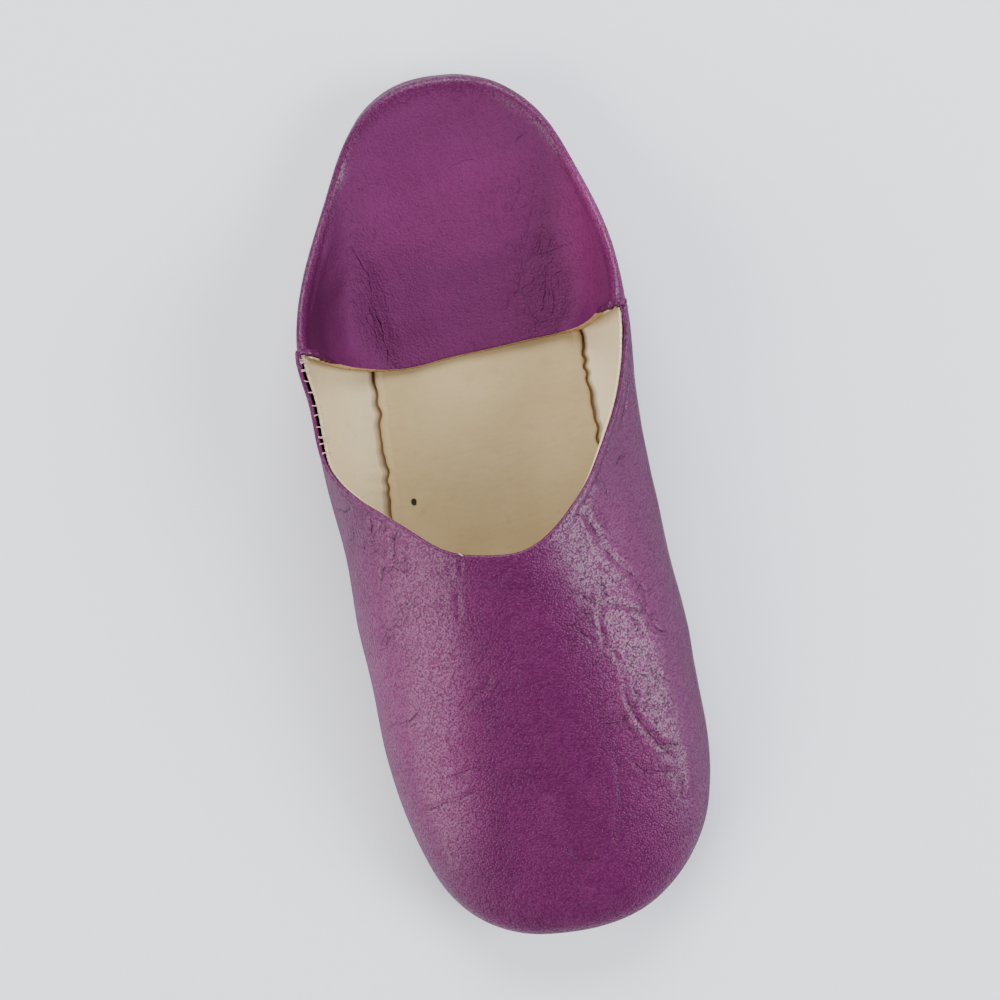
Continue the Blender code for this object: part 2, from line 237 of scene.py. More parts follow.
# Creases of the vamp, from one end to the other, in millimetres across and heelwards
VAMP_CREASES = (  # x1, y1, x2, y2, bend, width, depth, lip
    (26.4, -5.4, 30.4, -17.3, 0.6, 0.56, 0.38, 0.12),
    (30.4, -17.3, 38.6, -27.9, 0.5, 0.52, 0.27, 0.09),
    (30.4, -22.7, 27.0, -42.3, -0.4, 0.48, 0.27, 0.08),
    (22.7, -29.1, 28.5, -33.1, -1.0, 0.52, 0.32, 0.11),
    (28.4, -32.3, 37.8, -36.1, 0.4, 0.52, 0.30, 0.11),
    (35.1, -37.1, 39.2, -41.7, 0.3, 0.48, 0.27, 0.09),
    (40.4, -40.1, 45.2, -43.4, -0.3, 0.48, 0.26, 0.08),
    (22.8, -34.8, 27.7, -36.7, 0.3, 0.40, 0.22, 0.08),
    (23.0, -43.0, 30.8, -42.7, 0.5, 0.48, 0.22, 0.08),
    (38.7, -53.4, 42.4, -55.8, 0.3, 0.48, 0.28, 0.09),
    (32.8, -62.7, 45.5, -64.3, -0.3, 0.48, 0.26, 0.09),
    (32.4, -49.1, 34.9, -69.9, -1.5, 0.48, 0.23, 0.08),
    (38.5, -28.3, 41.0, -36.3, 0.4, 0.48, 0.19, 0.06),
    (-43.2, 3.2, -37.4, 2.2, -0.9, 0.60, 0.42, 0.15),
    (-34.6, -0.9, -36.0, -3.6, 0.3, 0.48, 0.34, 0.14),
    (-31.4, -1.9, -33.2, -5.6, 0.3, 0.56, 0.42, 0.15),
    (-27.7, -3.6, -29.9, -7.0, 0.2, 0.52, 0.28, 0.11),
    (-24.7, -5.8, -27.5, -10.6, 0.2, 0.56, 0.28, 0.11),
    (-23.3, -10.4, -26.9, -17.8, 0.6, 0.64, 0.20, 0.08),
    (-7.4, -15.4, -8.2, -20.2, 0.1, 0.36, 0.27, 0.09),
    (-10.3, -22.6, -11.8, -33.8, 0.8, 0.56, 0.16, 0.08),
    (-38.5, -2.2, -41.5, -10.0, 1.4, 0.72, 0.30, 0.11),
    (-25.9, -12.3, -31.5, -17.5, 1.0, 0.72, 0.19, 0.09),
    (-22.3, -23.1, -30.4, -30.0, 0.5, 0.72, 0.22, 0.11),
    (-28.7, -31.2, -35.9, -38.2, -1.0, 0.72, 0.22, 0.11),
    (-6.3, -50.0, -14.7, -57.5, 0.5, 0.72, 0.19, 0.09),
    (-21.2, -76.8, -7.0, -75.5, 1.2, 0.48, 0.20, 0.12),
    (-32.1, -86.5, -20.9, -84.3, 0.3, 0.48, 0.20, 0.14),
    (-20.9, -84.3, -11.9, -81.3, 0.4, 0.48, 0.20, 0.12),
    (-38.5, -60.8, -25.9, -56.8, -1.0, 0.64, 0.22, 0.09),
    (-7.2, -61.1, -2.0, -60.8, -0.2, 0.40, 0.15, 0.06),
    (32.1, -62.1, 43.4, -80.2, -1.2, 0.60, 0.27, 0.12),
    (33.6, -81.6, 44.1, -83.2, -0.3, 0.48, 0.22, 0.09),
    (27.7, -71.6, 23.9, -102.4, 0.6, 0.64, 0.16, 0.09),
    (6.4, -100.0, 18.0, -104.8, -1.6, 0.60, 0.20, 0.09),
    (23.5, -66.4, 29.0, -66.4, -0.3, 0.40, 0.20, 0.08),
    (25.1, -29.7, 27.3, -32.6, 0.3, 0.45, 0.30, 0.10),
    (27.6, -39.2, 27.1, -43.6, 0.3, 0.45, 0.42, 0.12),
    (23.4, -37.4, 27.0, -38.0, 0.3, 0.40, 0.20, 0.06),
    (21.5, -39.5, 26.0, -43.6, -0.5, 0.45, 0.30, 0.10),
    (27.0, -43.1, 32.7, -40.6, -0.5, 0.45, 0.26, 0.08),
    (29.5, -45.8, 30.3, -50.0, 0.4, 0.45, 0.32, 0.10),
    (39.2, -48.8, 38.7, -53.4, 0.4, 0.40, 0.32, 0.08),
    (38.0, -32.8, 39.2, -35.8, 0.2, 0.35, 0.18, 0.06),
    (34.1, -57.6, 33.6, -62.3, 0.5, 0.45, 0.32, 0.10),
    (30.6, -63.3, 29.5, -68.0, 0.4, 0.40, 0.28, 0.08),
    (29.9, -77.3, 33.3, -82.6, 0.4, 0.40, 0.24, 0.08),
    (33.3, -82.6, 37.4, -83.8, 0.3, 0.40, 0.22, 0.08),
    (37.8, -75.0, 44.9, -76.5, 0.7, 0.45, 0.26, 0.10),
    (43.1, -85.1, 42.4, -91.1, 0.3, 0.55, 0.26, 0.12),
    (26.2, -74.7, 26.1, -82.1, 0.3, 0.45, 0.14, 0.10),
    (23.3, -95.1, 23.2, -103.2, 0.4, 0.55, 0.12, 0.12),
    (-36.5, 0.1, -31.5, 0.8, -0.8, 0.70, 0.36, 0.10),
    (-25.8, -7.5, -27.5, -14.0, 0.3, 0.50, 0.32, 0.10),
    (-24.2, -10.1, -25.1, -18.5, 0.3, 0.50, 0.20, 0.10),
    (-29.6, -14.0, -33.4, -19.8, 0.4, 0.50, 0.28, 0.10),
    (-21.2, -24.5, -29.7, -33.1, 0.4, 0.50, 0.24, 0.10),
    (-31.0, -34.0, -38.0, -40.4, 0.5, 0.50, 0.20, 0.08),
    (-11.2, -17.3, -11.1, -20.4, 0.2, 0.35, 0.22, 0.06),
    (-5.3, -48.3, -8.0, -53.2, 0.8, 0.55, 0.18, 0.16),
    (32.7, 2.4, 33.4, -3.9, 0.4, 0.50, 0.22, 0.08),
    (41.4, -16.0, 43.3, -20.4, 0.3, 0.40, 0.16, 0.05),
    (37.2, 4.3, 41.0, 8.6, 0.3, 0.50, 0.28, 0.08),
    (46.8, -75.6, 44.2, -98.5, -0.8, 1.10, -0.30, 0.00),
)
# Creases of the folded heel quarter, in the same columns
FLAP_CREASES = (  # x1, y1, x2, y2, bend, width, depth, lip
    (18.7, 101.4, 23.8, 104.0, 0.5, 0.64, 0.14, 0.10),
    (-1.1, 97.3, 7.2, 98.9, 0.9, 0.68, 0.16, 0.07),
    (7.2, 99.3, 16.4, 99.7, 0.3, 0.68, 0.09, 0.05),
    (-1.1, 47.1, -0.5, 43.8, 0.4, 0.38, 0.20, 0.06),
    (-32.6, 79.7, -29.0, 61.4, 1.4, 1.10, 0.19, 0.10),
    (-29.0, 61.4, -26.7, 42.7, 1.0, 1.02, 0.25, 0.17),
    (-29.9, 77.7, -30.4, 61.6, 1.1, 0.68, 0.12, 0.05),
    (-30.4, 61.6, -29.5, 46.3, 0.8, 0.59, 0.18, 0.07),
    (-17.9, 82.2, 11.7, 81.1, 0.8, 0.94, 0.06, 0.02),
    (14.6, 68.2, 34.7, 72.0, -0.6, 0.94, 0.09, 0.04),
    (19.5, 92.1, 15.5, 82.4, 0.4, 0.59, 0.12, 0.06),
    (22.3, 85.4, 17.8, 71.4, 0.3, 0.64, 0.15, 0.07),
    (24.6, 80.5, 20.8, 67.3, 0.3, 0.64, 0.14, 0.07),
    (17.7, 69.9, 13.3, 56.9, 0.4, 0.64, 0.14, 0.07),
    (23.6, 65.1, 19.9, 50.6, 0.5, 0.64, 0.16, 0.07),
    (12.1, 61.4, 8.9, 50.7, 0.3, 0.59, 0.11, 0.06),
    (25.2, 59.7, 22.3, 46.5, 0.3, 0.64, 0.15, 0.07),
    (20.4, 47.0, 16.0, 58.0, 0.3, 0.59, 0.12, 0.06),
)
# Where the leather is crinkled into fine lines: centres and half sizes in millimetres
VAMP_CRINKLES = (  # x, y, half_x, half_y, weight
    (-33, -6, 9, 8, 0.7),
    (-27, -17, 8, 10, 0.6),
    (-26, -30, 10, 11, 0.6),
    (-31, -40, 9, 10, 0.5),
    (-12, -50, 12, 16, 0.5),
    (-14, -28, 10, 10, 0.4),
    (31, -38, 13, 15, 1),
    (34, -62, 11, 16, 0.9),
    (28, -10, 8, 10, 0.6),
    (36, -78, 9, 10, 0.6),
)
FLAP_CRINKLES = (  # x, y, half_x, half_y, weight
    (20, 62, 9, 20, 1),
    (20, 86, 7, 12, 0.8),
    (-29, 58, 6, 18, 0.7),
    (2, 48, 18, 6, 0.4),
    (-32, 84, 6, 10, 0.5),
)
# Where paler painted sheen and painted light stand in for the soft boxes' light, in the same columns
VAMP_PAINTED_SHEEN = (  # x, y, half_x, half_y, weight
    (-27, -52, 15, 46, 0.62),
    (34, -50, 8, 40, 0.35),
)
FLAP_PAINTED_LIGHT = (  # x, y, half_x, half_y, weight
    (38, 74, 9, 24, 0.70),
    (0, 88, 22, 14, 0.20),
)
# The pin hole in the insole and a loose end of thread on the topline, in plan
PIN_HOLE = (-0.0243, 0.0023)
THREAD_SPECK = (-0.0074, -0.0144)


def closed_spline(knots, values):
    """A smooth closed curve: a function of the turn that passes through values[i] at knots[i]."""
    knots = np.asarray(knots, float)
    values = np.asarray(values, float)
    count = len(knots)
    step = np.diff(np.append(knots, knots[0] + 1))
    before = np.roll(step, 1)
    slope = (np.roll(values, -1, 0) - values) / step[:, None]
    matrix = np.zeros((count, count))
    for i in range(count):
        matrix[i, i - 1] += before[i]
        matrix[i, i] += 2 * (before[i] + step[i])
        matrix[i, (i + 1) % count] += step[i]
    bend = np.linalg.solve(matrix, 6 * (slope - np.roll(slope, 1, 0)))

    def at(turn):
        turn = np.mod(np.asarray(turn, float) - knots[0], 1) + knots[0]
        i = np.searchsorted(knots, turn, side="right") - 1
        j = (i + 1) % count
        h = step[i][..., None]
        a = (turn - knots[i])[..., None]
        b = h - a
        curved = (bend[i] * b**3 + bend[j] * a**3) / (6 * h)
        return curved + (values[i] / h - bend[i] * h / 6) * b + (values[j] / h - bend[j] * h / 6) * a

    return at


def place(along, across):
    """A point in plan from its shares of the sole's length and the ball's width."""
    return np.stack([across * BALL_WIDTH, (0.5 - along) * SOLE_LENGTH], -1)


def make_sole_edge():
    """The sole's edge as a function of the turn, with the toe tip at 0.5."""
    rows = np.array(SOLE_SECTIONS)
    lateral = place(rows[:, 0], -rows[:, 1])
    medial = place(rows[::-1, 0], rows[::-1, 2])
    knots = []
    for start, side in ((0.0, lateral), (0.5, medial)):
        walked = np.cumsum(np.linalg.norm(np.diff(side, axis=0), axis=1))
        knots += [start, *(start + 0.5 * walked[:-1] / walked[-1])]
    return closed_spline(knots, np.concatenate([lateral[:-1], medial[:-1]]))


def make_upper_shape():
    """The upper's section values as a function of the turn, with the top point in metres."""
    rows = np.array(UPPER_SECTIONS)
    top = place(rows[:, 3], rows[:, 4])
    height = np.interp(rows[:, 5], (0, 1, 2), (HEEL_RIM_HEIGHT, SIDE_HEIGHT, INSTEP_HEIGHT))
    columns = [rows[:, 1] * OVERHANG, rows[:, 2], *top.T, height, *rows[:, 6:].T]
    return closed_spline(rows[:, 0], np.stack(columns, 1))


def make_flap_edge():
    rows = np.array(FLAP_EDGE)
    edge = place(rows[:, 1], rows[:, 2])
    return closed_spline(rows[:, 0], np.column_stack([edge, rows[:, 3], rows[:, 4] * BALL_WIDTH]))


sole_edge = make_sole_edge()
upper_shape = make_upper_shape()
flap_edge = make_flap_edge()


def unit(ways):
    return ways / np.linalg.norm(ways, axis=-1, keepdims=True)


def outward(turn):
    """The unit vector in plan that points out of the sole's edge."""
    tangent = sole_edge(turn + TURN_STEP) - sole_edge(turn - TURN_STEP)
    return unit(np.stack([tangent[..., 1], -tangent[..., 0]], -1))


def ground(y):
    """How far the sole's underside lifts off the floor at y."""
    along = 0.5 - y / SOLE_LENGTH
    arch = np.clip((along - ARCH_SPAN[0]) / (ARCH_SPAN[1] - ARCH_SPAN[0]), 0, 1)
    spring = np.clip((along - SPRING_START) / (1 - SPRING_START), 0, None)
    return ARCH_RISE * np.sin(math.pi * arch) ** 2 + TOE_SPRING * spring**SPRING_POWER


def bezier(a, b, c, d, count):
    t = np.linspace(0, 1, count)[:, None]
    return a * (1 - t) ** 3 + 3 * b * t * (1 - t) ** 2 + 3 * c * t**2 * (1 - t) + d * t**3


def point(plan, height):
    return np.array([plan[0], plan[1], height])


def walk_to(points, distances):
    """The points that lie at these distances along a line of points."""
    reached = np.concatenate([[0], np.cumsum(np.linalg.norm(np.diff(points, axis=0), axis=1))])
    return np.stack([np.interp(distances, reached, points[:, k]) for k in range(3)], 1)


def length_of(points):
    return np.linalg.norm(np.diff(points, axis=0), axis=1).sum()


def wall_line(turn):
    """The leather's outer face at one section, from the sole's edge to its top point."""
    edge = sole_edge(turn)
    overhang, belly, top_x, top_y, top_z, rise, pull, drop = upper_shape(turn)
    belly_z = UPPER_BASE + belly * (top_z - UPPER_BASE)
    foot = point(edge, UPPER_BASE)
    widest = point(edge + overhang * outward(turn), belly_z)
    top = np.array([top_x, top_y, top_z])
    climb = (belly_z - UPPER_BASE) * UP
    first = foot + FOOT_OUT * (widest - foot) * (1, 1, 0) + FOOT_UP * climb
    lower = bezier(foot, first, widest - BELLY_DOWN * climb, widest, CURVE_SAMPLES)
    above = (top_z - belly_z) * UP
    last = top + pull * (widest - top) * (1, 1, 0) - drop * above
    upper = bezier(widest, widest + rise * above, last, top, CURVE_SAMPLES)
    return np.concatenate([lower, upper[1:]])


def fold_line(turn, wall_top):
    """The fold over the wall's top, and the flap from it down to the insole and to its front edge."""
    edge_x, edge_y, lifted, slope = flap_edge(turn)
    lifted = max(lifted, 0)
    run = np.array([edge_x, edge_y]) - wall_top[:2]
    reach = np.linalg.norm(run)
    inward = point(run / reach, 0)
    height = wall_top[2] - FLAP_FLOOR
    turned = math.pi / 2 + math.atan2(FLAP_STEEP * height, slope)
    angle = np.linspace(0, turned, CURVE_SAMPLES)[:, None]
    centre = wall_top + FOLD_RADIUS * inward
    fold = centre + FOLD_RADIUS * (np.sin(angle) * UP - np.cos(angle) * inward)
    start = fold[-1]
    left = start[2] - FLAP_FLOOR
    power = FLAP_STEEP * height / left / (1 - lifted)
    gone = np.linalg.norm(start[:2] - wall_top[:2])
    away = np.linspace(0, reach - gone, 3 * CURVE_SAMPLES)
    height = FLAP_FLOOR + left * (lifted + (1 - lifted) * np.clip(1 - away / slope, 0, 1) ** power)
    flap = start * (1, 1, 0) + away[:, None] * inward + height[:, None] * UP
    return fold, flap


def wall_facing(turns, outer):
    """The way each point of a wall's outer face looks, for columns of points at these turns."""
    across = np.gradient(outer, axis=0)
    up = np.gradient(outer, axis=1)
    for seam in (0, -1):
        line = wall_line(turns[seam])
        sideways = np.cross((0, 0, 1), line[-1] - line[0])
        across[seam] = sideways * np.sign(across[seam, 0] @ sideways)
    facing = np.cross(across, up)
    return facing / np.linalg.norm(facing, axis=2, keepdims=True)


def ease(value, start, end):
    """0 before start and 1 after end, and smooth between them."""
    t = np.clip((value - start) / (end - start), 0, 1)
    return t * t * (3 - 2 * t)


def bell(value, middle, width):
    """1 at the middle, falling away softly over the width."""
    return np.exp(-(((value - middle) / width) ** 2))


def lift(grid):
    """The grid with each point raised by the sole's arch and toe spring, and put into the frame."""
    lifted = grid.copy()
    lifted[..., 2] += ground(grid[..., 1])
    lifted[..., :2] += SHIFT
    return lifted


def creased(points, creases):
    """A table of creases at each point: how far they move it, how deep the nearest one is cut, and how many
    millimetres the point lies to one side of that one's line."""
    x = points[..., 0] / MM + 0.30 * waves(points, 0.0055, 7, 31) + 0.12 * waves(points, 0.0022, 7, 32)
    y = points[..., 1] / MM + 0.30 * waves(points, 0.0055, 7, 33) + 0.12 * waves(points, 0.0022, 7, 34)
    broken = np.clip(0.80 + 0.35 * waves(points, 0.0060, 7, 35), 0.25, 1.2)
    moved = np.zeros(x.shape)
    cut = np.zeros(x.shape)
    aside = np.full(x.shape, 3.0)
    for x1, y1, x2, y2, bend, width, depth, lip in creases:
        reach = 4 * width + abs(bend) + CUT_ENDS[1]
        near = (x > min(x1, x2) - reach) & (x < max(x1, x2) + reach)
        near &= (y > min(y1, y2) - reach) & (y < max(y1, y2) + reach)
        px, py = x[near], y[near]
        run_x, run_y = x2 - x1, y2 - y1
        length = math.hypot(run_x, run_y)
        side_x, side_y = -run_y / length * bend, run_x / length * bend
        nearest = np.full(px.shape, np.inf)
        at = np.zeros(px.shape)
        hand = np.ones(px.shape)
        for t in np.linspace(0, 1, CREASE_STEPS):
            bow = 4 * t * (1 - t)
            turn = 4 * (1 - 2 * t)
            dx = px - (x1 + run_x * t + side_x * bow)
            dy = py - (y1 + run_y * t + side_y * bow)
            gap = np.hypot(dx, dy)
            closer = gap < nearest
            across = (run_x + side_x * turn) * dy - (run_y + side_y * turn) * dx
            nearest = np.where(closer, gap, nearest)
            hand = np.where(closer, np.where(across < 0, -1, 1), hand)
            at = np.where(closer, t, at)
        fade = np.sin(np.pi * at) ** 0.6 * broken[near]
        wide = TROUGH_WIDE * width
        trough = bell(nearest, 0, wide) * fade
        banks = bell(nearest, BANK_AT * wide, BANK_WIDE * wide) * fade
        moved[near] += (lip * banks - TROUGH_DEEP * depth * trough) * MM
        here = fade * min(1, max(0, depth) / FULL_CUT_DEPTH) * (1 - ease(nearest, *CUT_ENDS))
        first = here > cut[near]
        cut[near] = np.where(first, here, cut[near])
        aside[near] = np.where(first, hand * nearest, aside[near])
    return moved, cut, aside


def patched(points, patches):
    """How far each point is inside a table's soft patches, from 0 to 1."""
    x, y = points[..., 0] / MM, points[..., 1] / MM
    total = np.zeros(x.shape)
    for middle_x, middle_y, half_x, half_y, weight in patches:
        away = ((x - middle_x) / half_x) ** 2 + ((y - middle_y) / half_y) ** 2
        total = np.maximum(total, weight * np.exp(-(away**2) * 0.7))
    return total


def waves(points, size, count, seed):
    """A soft unevenness between about -1 and 1, the same on every run."""
    turned = np.random.default_rng(seed)
    total = np.zeros(points.shape[:-1])
    for _ in range(count):
        way = turned.normal(size=3)
        way *= 2 * math.pi / size / np.linalg.norm(way) * turned.uniform(0.6, 1.4)
        total += np.sin(points @ way + turned.uniform(0, 2 * math.pi))
    return total / math.sqrt(count)


def grid_faces(columns, rows, closed=False):
    faces = []
    for i in range(columns if closed else columns - 1):
        j = (i + 1) % columns
        for k in range(rows - 1):
            faces.append((i * rows + k, j * rows + k, j * rows + k + 1, i * rows + k + 1))
    return faces


def make_piece(name, points, faces, materials, kinds=None, values=None):
    """A smooth mesh object. kinds gives each face's material, and values named numbers at each point."""
    mesh = bpy.data.meshes.new(name)
    mesh.from_pydata([tuple(p) for p in points], [], faces)
    for one in materials:
        mesh.materials.append(one)
    if kinds is not None:
        mesh.polygons.foreach_set("material_index", kinds)
    for key, numbers in (values or {}).items():
        layer = mesh.attributes.new(key, "FLOAT", "POINT")
        layer.data.foreach_set("value", np.asarray(numbers, np.float32).ravel())
    mesh.shade_smooth()
    mesh.update()
    obj = bpy.data.objects.new(name, mesh)
    bpy.context.scene.collection.objects.link(obj)
    return obj


def face_outwards(obj):
    shape = bmesh.new()
    shape.from_mesh(obj.data)
    bmesh.ops.recalc_face_normals(shape, faces=shape.faces)
    shape.to_mesh(obj.data)
    shape.free()


def wall_rows(turns, spacing, short):
    """The outer face's points at these turns, and each point's distance from the top along the leather."""
    columns = []
    below = []
    for turn in turns:
        line = wall_line(turn)
        length = length_of(line)
        walked = spacing * (length - short)
        columns.append(walk_to(line, walked))
        below.append(length - walked)
    return np.array(columns), np.array(below)


def seam_wave(turns):
    """How far the insole's edge and the lining's foot, which follow each other, wander inwards."""
    round_it = 2 * math.pi * turns
    cut = 0.5 + 0.5 * np.sin(round_it * 83 + 1.9 * np.sin(round_it * 17) + 1.2 * np.sin(round_it * 29 + 1))
    slow = 0.5 + 0.5 * np.sin(round_it * 27 + 1.0)
    nick = 0.5 + 0.5 * np.sin(round_it * 131 + 1.4 * np.sin(round_it * 13))
    return (0.30 + 0.80 * cut * (0.45 + 0.55 * slow) + 0.22 * nick + 0.35 * slow) * MM


def tube_points(path, radius, sides, flat):
    """Rings of points round a path. radius is a number, or one for each point of the path."""
    path = np.asarray(path, float)
    along = unit(np.gradient(path, axis=0))
    start = UP if abs(along[0, 2]) < 0.9 else np.array([1.0, 0, 0])
    rings = []
    side = np.cross(along[0], start)
    radii = np.broadcast_to(radius, len(path))
    for here, way, size in zip(path, along, radii):
        side = unit(side - way * (side @ way))
        other = np.cross(way, side)
        angle = np.linspace(0, 2 * math.pi, sides, endpoint=False)[:, None]
        rings.append(here + size * (np.cos(angle) * side + flat * np.sin(angle) * other))
    return np.array(rings)


def make_tubes(name, tubes, material):
    """One object of many closed tubes, from their rings of points in the frame."""
    points = []
    faces = []
    start = 0
    for rings in tubes:
        count, sides = rings.shape[:2]
        points.append(rings.reshape(-1, 3))
        for i in range(count - 1):
            for k in range(sides):
                a, b = start + i * sides + k, start + i * sides + (k + 1) % sides
                faces.append((a, b, b + sides, a + sides))
        faces.append(tuple(start + k for k in reversed(range(sides))))
        faces.append(tuple(start + (count - 1) * sides + k for k in range(sides)))
        start += count * sides
    return make_piece(name, np.concatenate(points), faces, [material])


def smooth_path(points, count):
    """A smooth path through a few points, with a cubic for each leg."""
    points = np.asarray(points, float)
    knots = np.concatenate([[0], np.cumsum(np.linalg.norm(np.diff(points, axis=0), axis=1))])
    slopes = np.gradient(points, knots, axis=0)
    t = np.linspace(0, knots[-1], count)
    i = np.clip(np.searchsorted(knots, t, side="right") - 1, 0, len(knots) - 2)
    h = (knots[i + 1] - knots[i])[:, None]
    u = (t - knots[i])[:, None] / h
    return (points[i] * (1 + 2 * u) * (1 - u) ** 2 + slopes[i] * h * u * (1 - u) ** 2
            + points[i + 1] * u**2 * (3 - 2 * u) - slopes[i + 1] * h * u**2 * (1 - u))


def strand(path, count, radius, sides=8, flat=1.0):
    """A tube's rings, in the frame, along a smooth path through a few points."""
    return lift(tube_points(smooth_path(path, count), radius, sides, flat))


class Nodes:
    """A material's node tree, with short ways to add nodes and join them."""

    def __init__(self, name):
        self.material = bpy.data.materials.new(name)
        self.material.use_nodes = True
        self.tree = self.material.node_tree
        self.shader = self.tree.nodes["Principled BSDF"]
        self.spot = self.add("ShaderNodeTexCoord").outputs["Object"]

    def add(self, kind, **settings):
        node = self.tree.nodes.new(kind)
        for key, value in settings.items():
            setattr(node, key, value)
        return node

    def join(self, source, target):
        if isinstance(source, (int, float, tuple)):
            target.default_value = source
        else:
            self.tree.links.new(source, target)

    def stretched(self, longer, turn=0.0):
        """Coordinates in which a texture is longer by these shares, along axes turned by so many degrees."""
        node = self.add("ShaderNodeMapping", vector_type="TEXTURE")
        node.inputs["Scale"].default_value = longer
        node.inputs["Rotation"].default_value = (0, 0, math.radians(turn))
        self.join(self.spot, node.inputs["Vector"])
        return node.outputs["Vector"]

    def warped(self, size, amount):
        """Coordinates that wander by up to half of amount."""
        wander = self.add("ShaderNodeTexNoise")
        wander.inputs["Scale"].default_value = 1 / size
        wander.inputs["Detail"].default_value = 2.0
        self.join(self.spot, wander.inputs["Vector"])
        node = self.add("ShaderNodeVectorMath", operation="MULTIPLY_ADD")
        self.join(wander.outputs["Color"], node.inputs[0])
        node.inputs[1].default_value = (amount, amount, amount)
        self.join(self.spot, node.inputs[2])
        return node.outputs[0]

    def noise(self, size, detail=3.0, roughness=0.55, warp=0.0, spot=None):
        node = self.add("ShaderNodeTexNoise")
        node.inputs["Scale"].default_value = 1 / size
        node.inputs["Detail"].default_value = detail
        node.inputs["Roughness"].default_value = roughness
        node.inputs["Distortion"].default_value = warp
        self.join(spot or self.spot, node.inputs["Vector"])
        return node.outputs["Fac"]

    def cells(self, size, feature="SMOOTH_F1", smooth=0.3, spot=None):
        node = self.add("ShaderNodeTexVoronoi", feature=feature)
        node.inputs["Scale"].default_value = 1 / size
        if feature == "SMOOTH_F1":
            node.inputs["Smoothness"].default_value = smooth
        self.join(spot or self.spot, node.inputs["Vector"])
        return node.outputs["Distance"]

    def value(self, name):
        return self.add("ShaderNodeAttribute", attribute_name=name).outputs["Fac"]

    def math(self, operation, first, second=0.0):
        node = self.add("ShaderNodeMath", operation=operation)
        self.join(first, node.inputs[0])
        self.join(second, node.inputs[1])
        return node.outputs[0]

    def times(self, first, *others):
        for other in others:
            first = self.math("MULTIPLY", first, other)
        return first

    def vector(self, operation, first, second=(0, 0, 0)):
        node = self.add("ShaderNodeVectorMath", operation=operation)
        self.join(first, node.inputs[0])
        self.join(second, node.inputs[1])
        return node.outputs["Value" if operation == "LENGTH" else "Vector"]

    def ramp(self, source, start, end, low=0.0, high=1.0):
        node = self.add("ShaderNodeMapRange")
        self.join(source, node.inputs["Value"])
        for key, number in (("From Min", start), ("From Max", end), ("To Min", low), ("To Max", high)):
            node.inputs[key].default_value = number
        return node.outputs["Result"]

    def mix(self, share, first, second):
        node = self.add("ShaderNodeMix", data_type="RGBA")
        self.join(share, node.inputs["Factor"])
        self.join(first, node.inputs["A"])
        self.join(second, node.inputs["B"])
        return node.outputs["Result"]

    def layered(self, base, *layers):
        """The base colour with each (share, colour) mixed over it."""
        for share, colour in layers:
            base = self.mix(share, base, colour)
        return base

    def bumps(self, *layers):
        """A normal from one (height, strength, distance) upon another."""
        normal = None
        for height, strength, distance in layers:
            node = self.add("ShaderNodeBump")
            node.inputs["Strength"].default_value = strength
            node.inputs["Distance"].default_value = distance
            self.join(height, node.inputs["Height"])
            if normal is not None:
                self.join(normal, node.inputs["Normal"])
            normal = node.outputs["Normal"]
        return normal

    def facing(self):
        """The X, Y and Z of the way that the surface faces."""
        node = self.add("ShaderNodeSeparateXYZ")
        self.join(self.add("ShaderNodeNewGeometry").outputs["Normal"], node.inputs[0])
        return node.outputs

    def finish(self, colour, roughness, normal):
        for key, source in (("Base Color", colour), ("Roughness", roughness), ("Normal", normal)):
            self.join(source, self.shader.inputs[key])
        return self.material


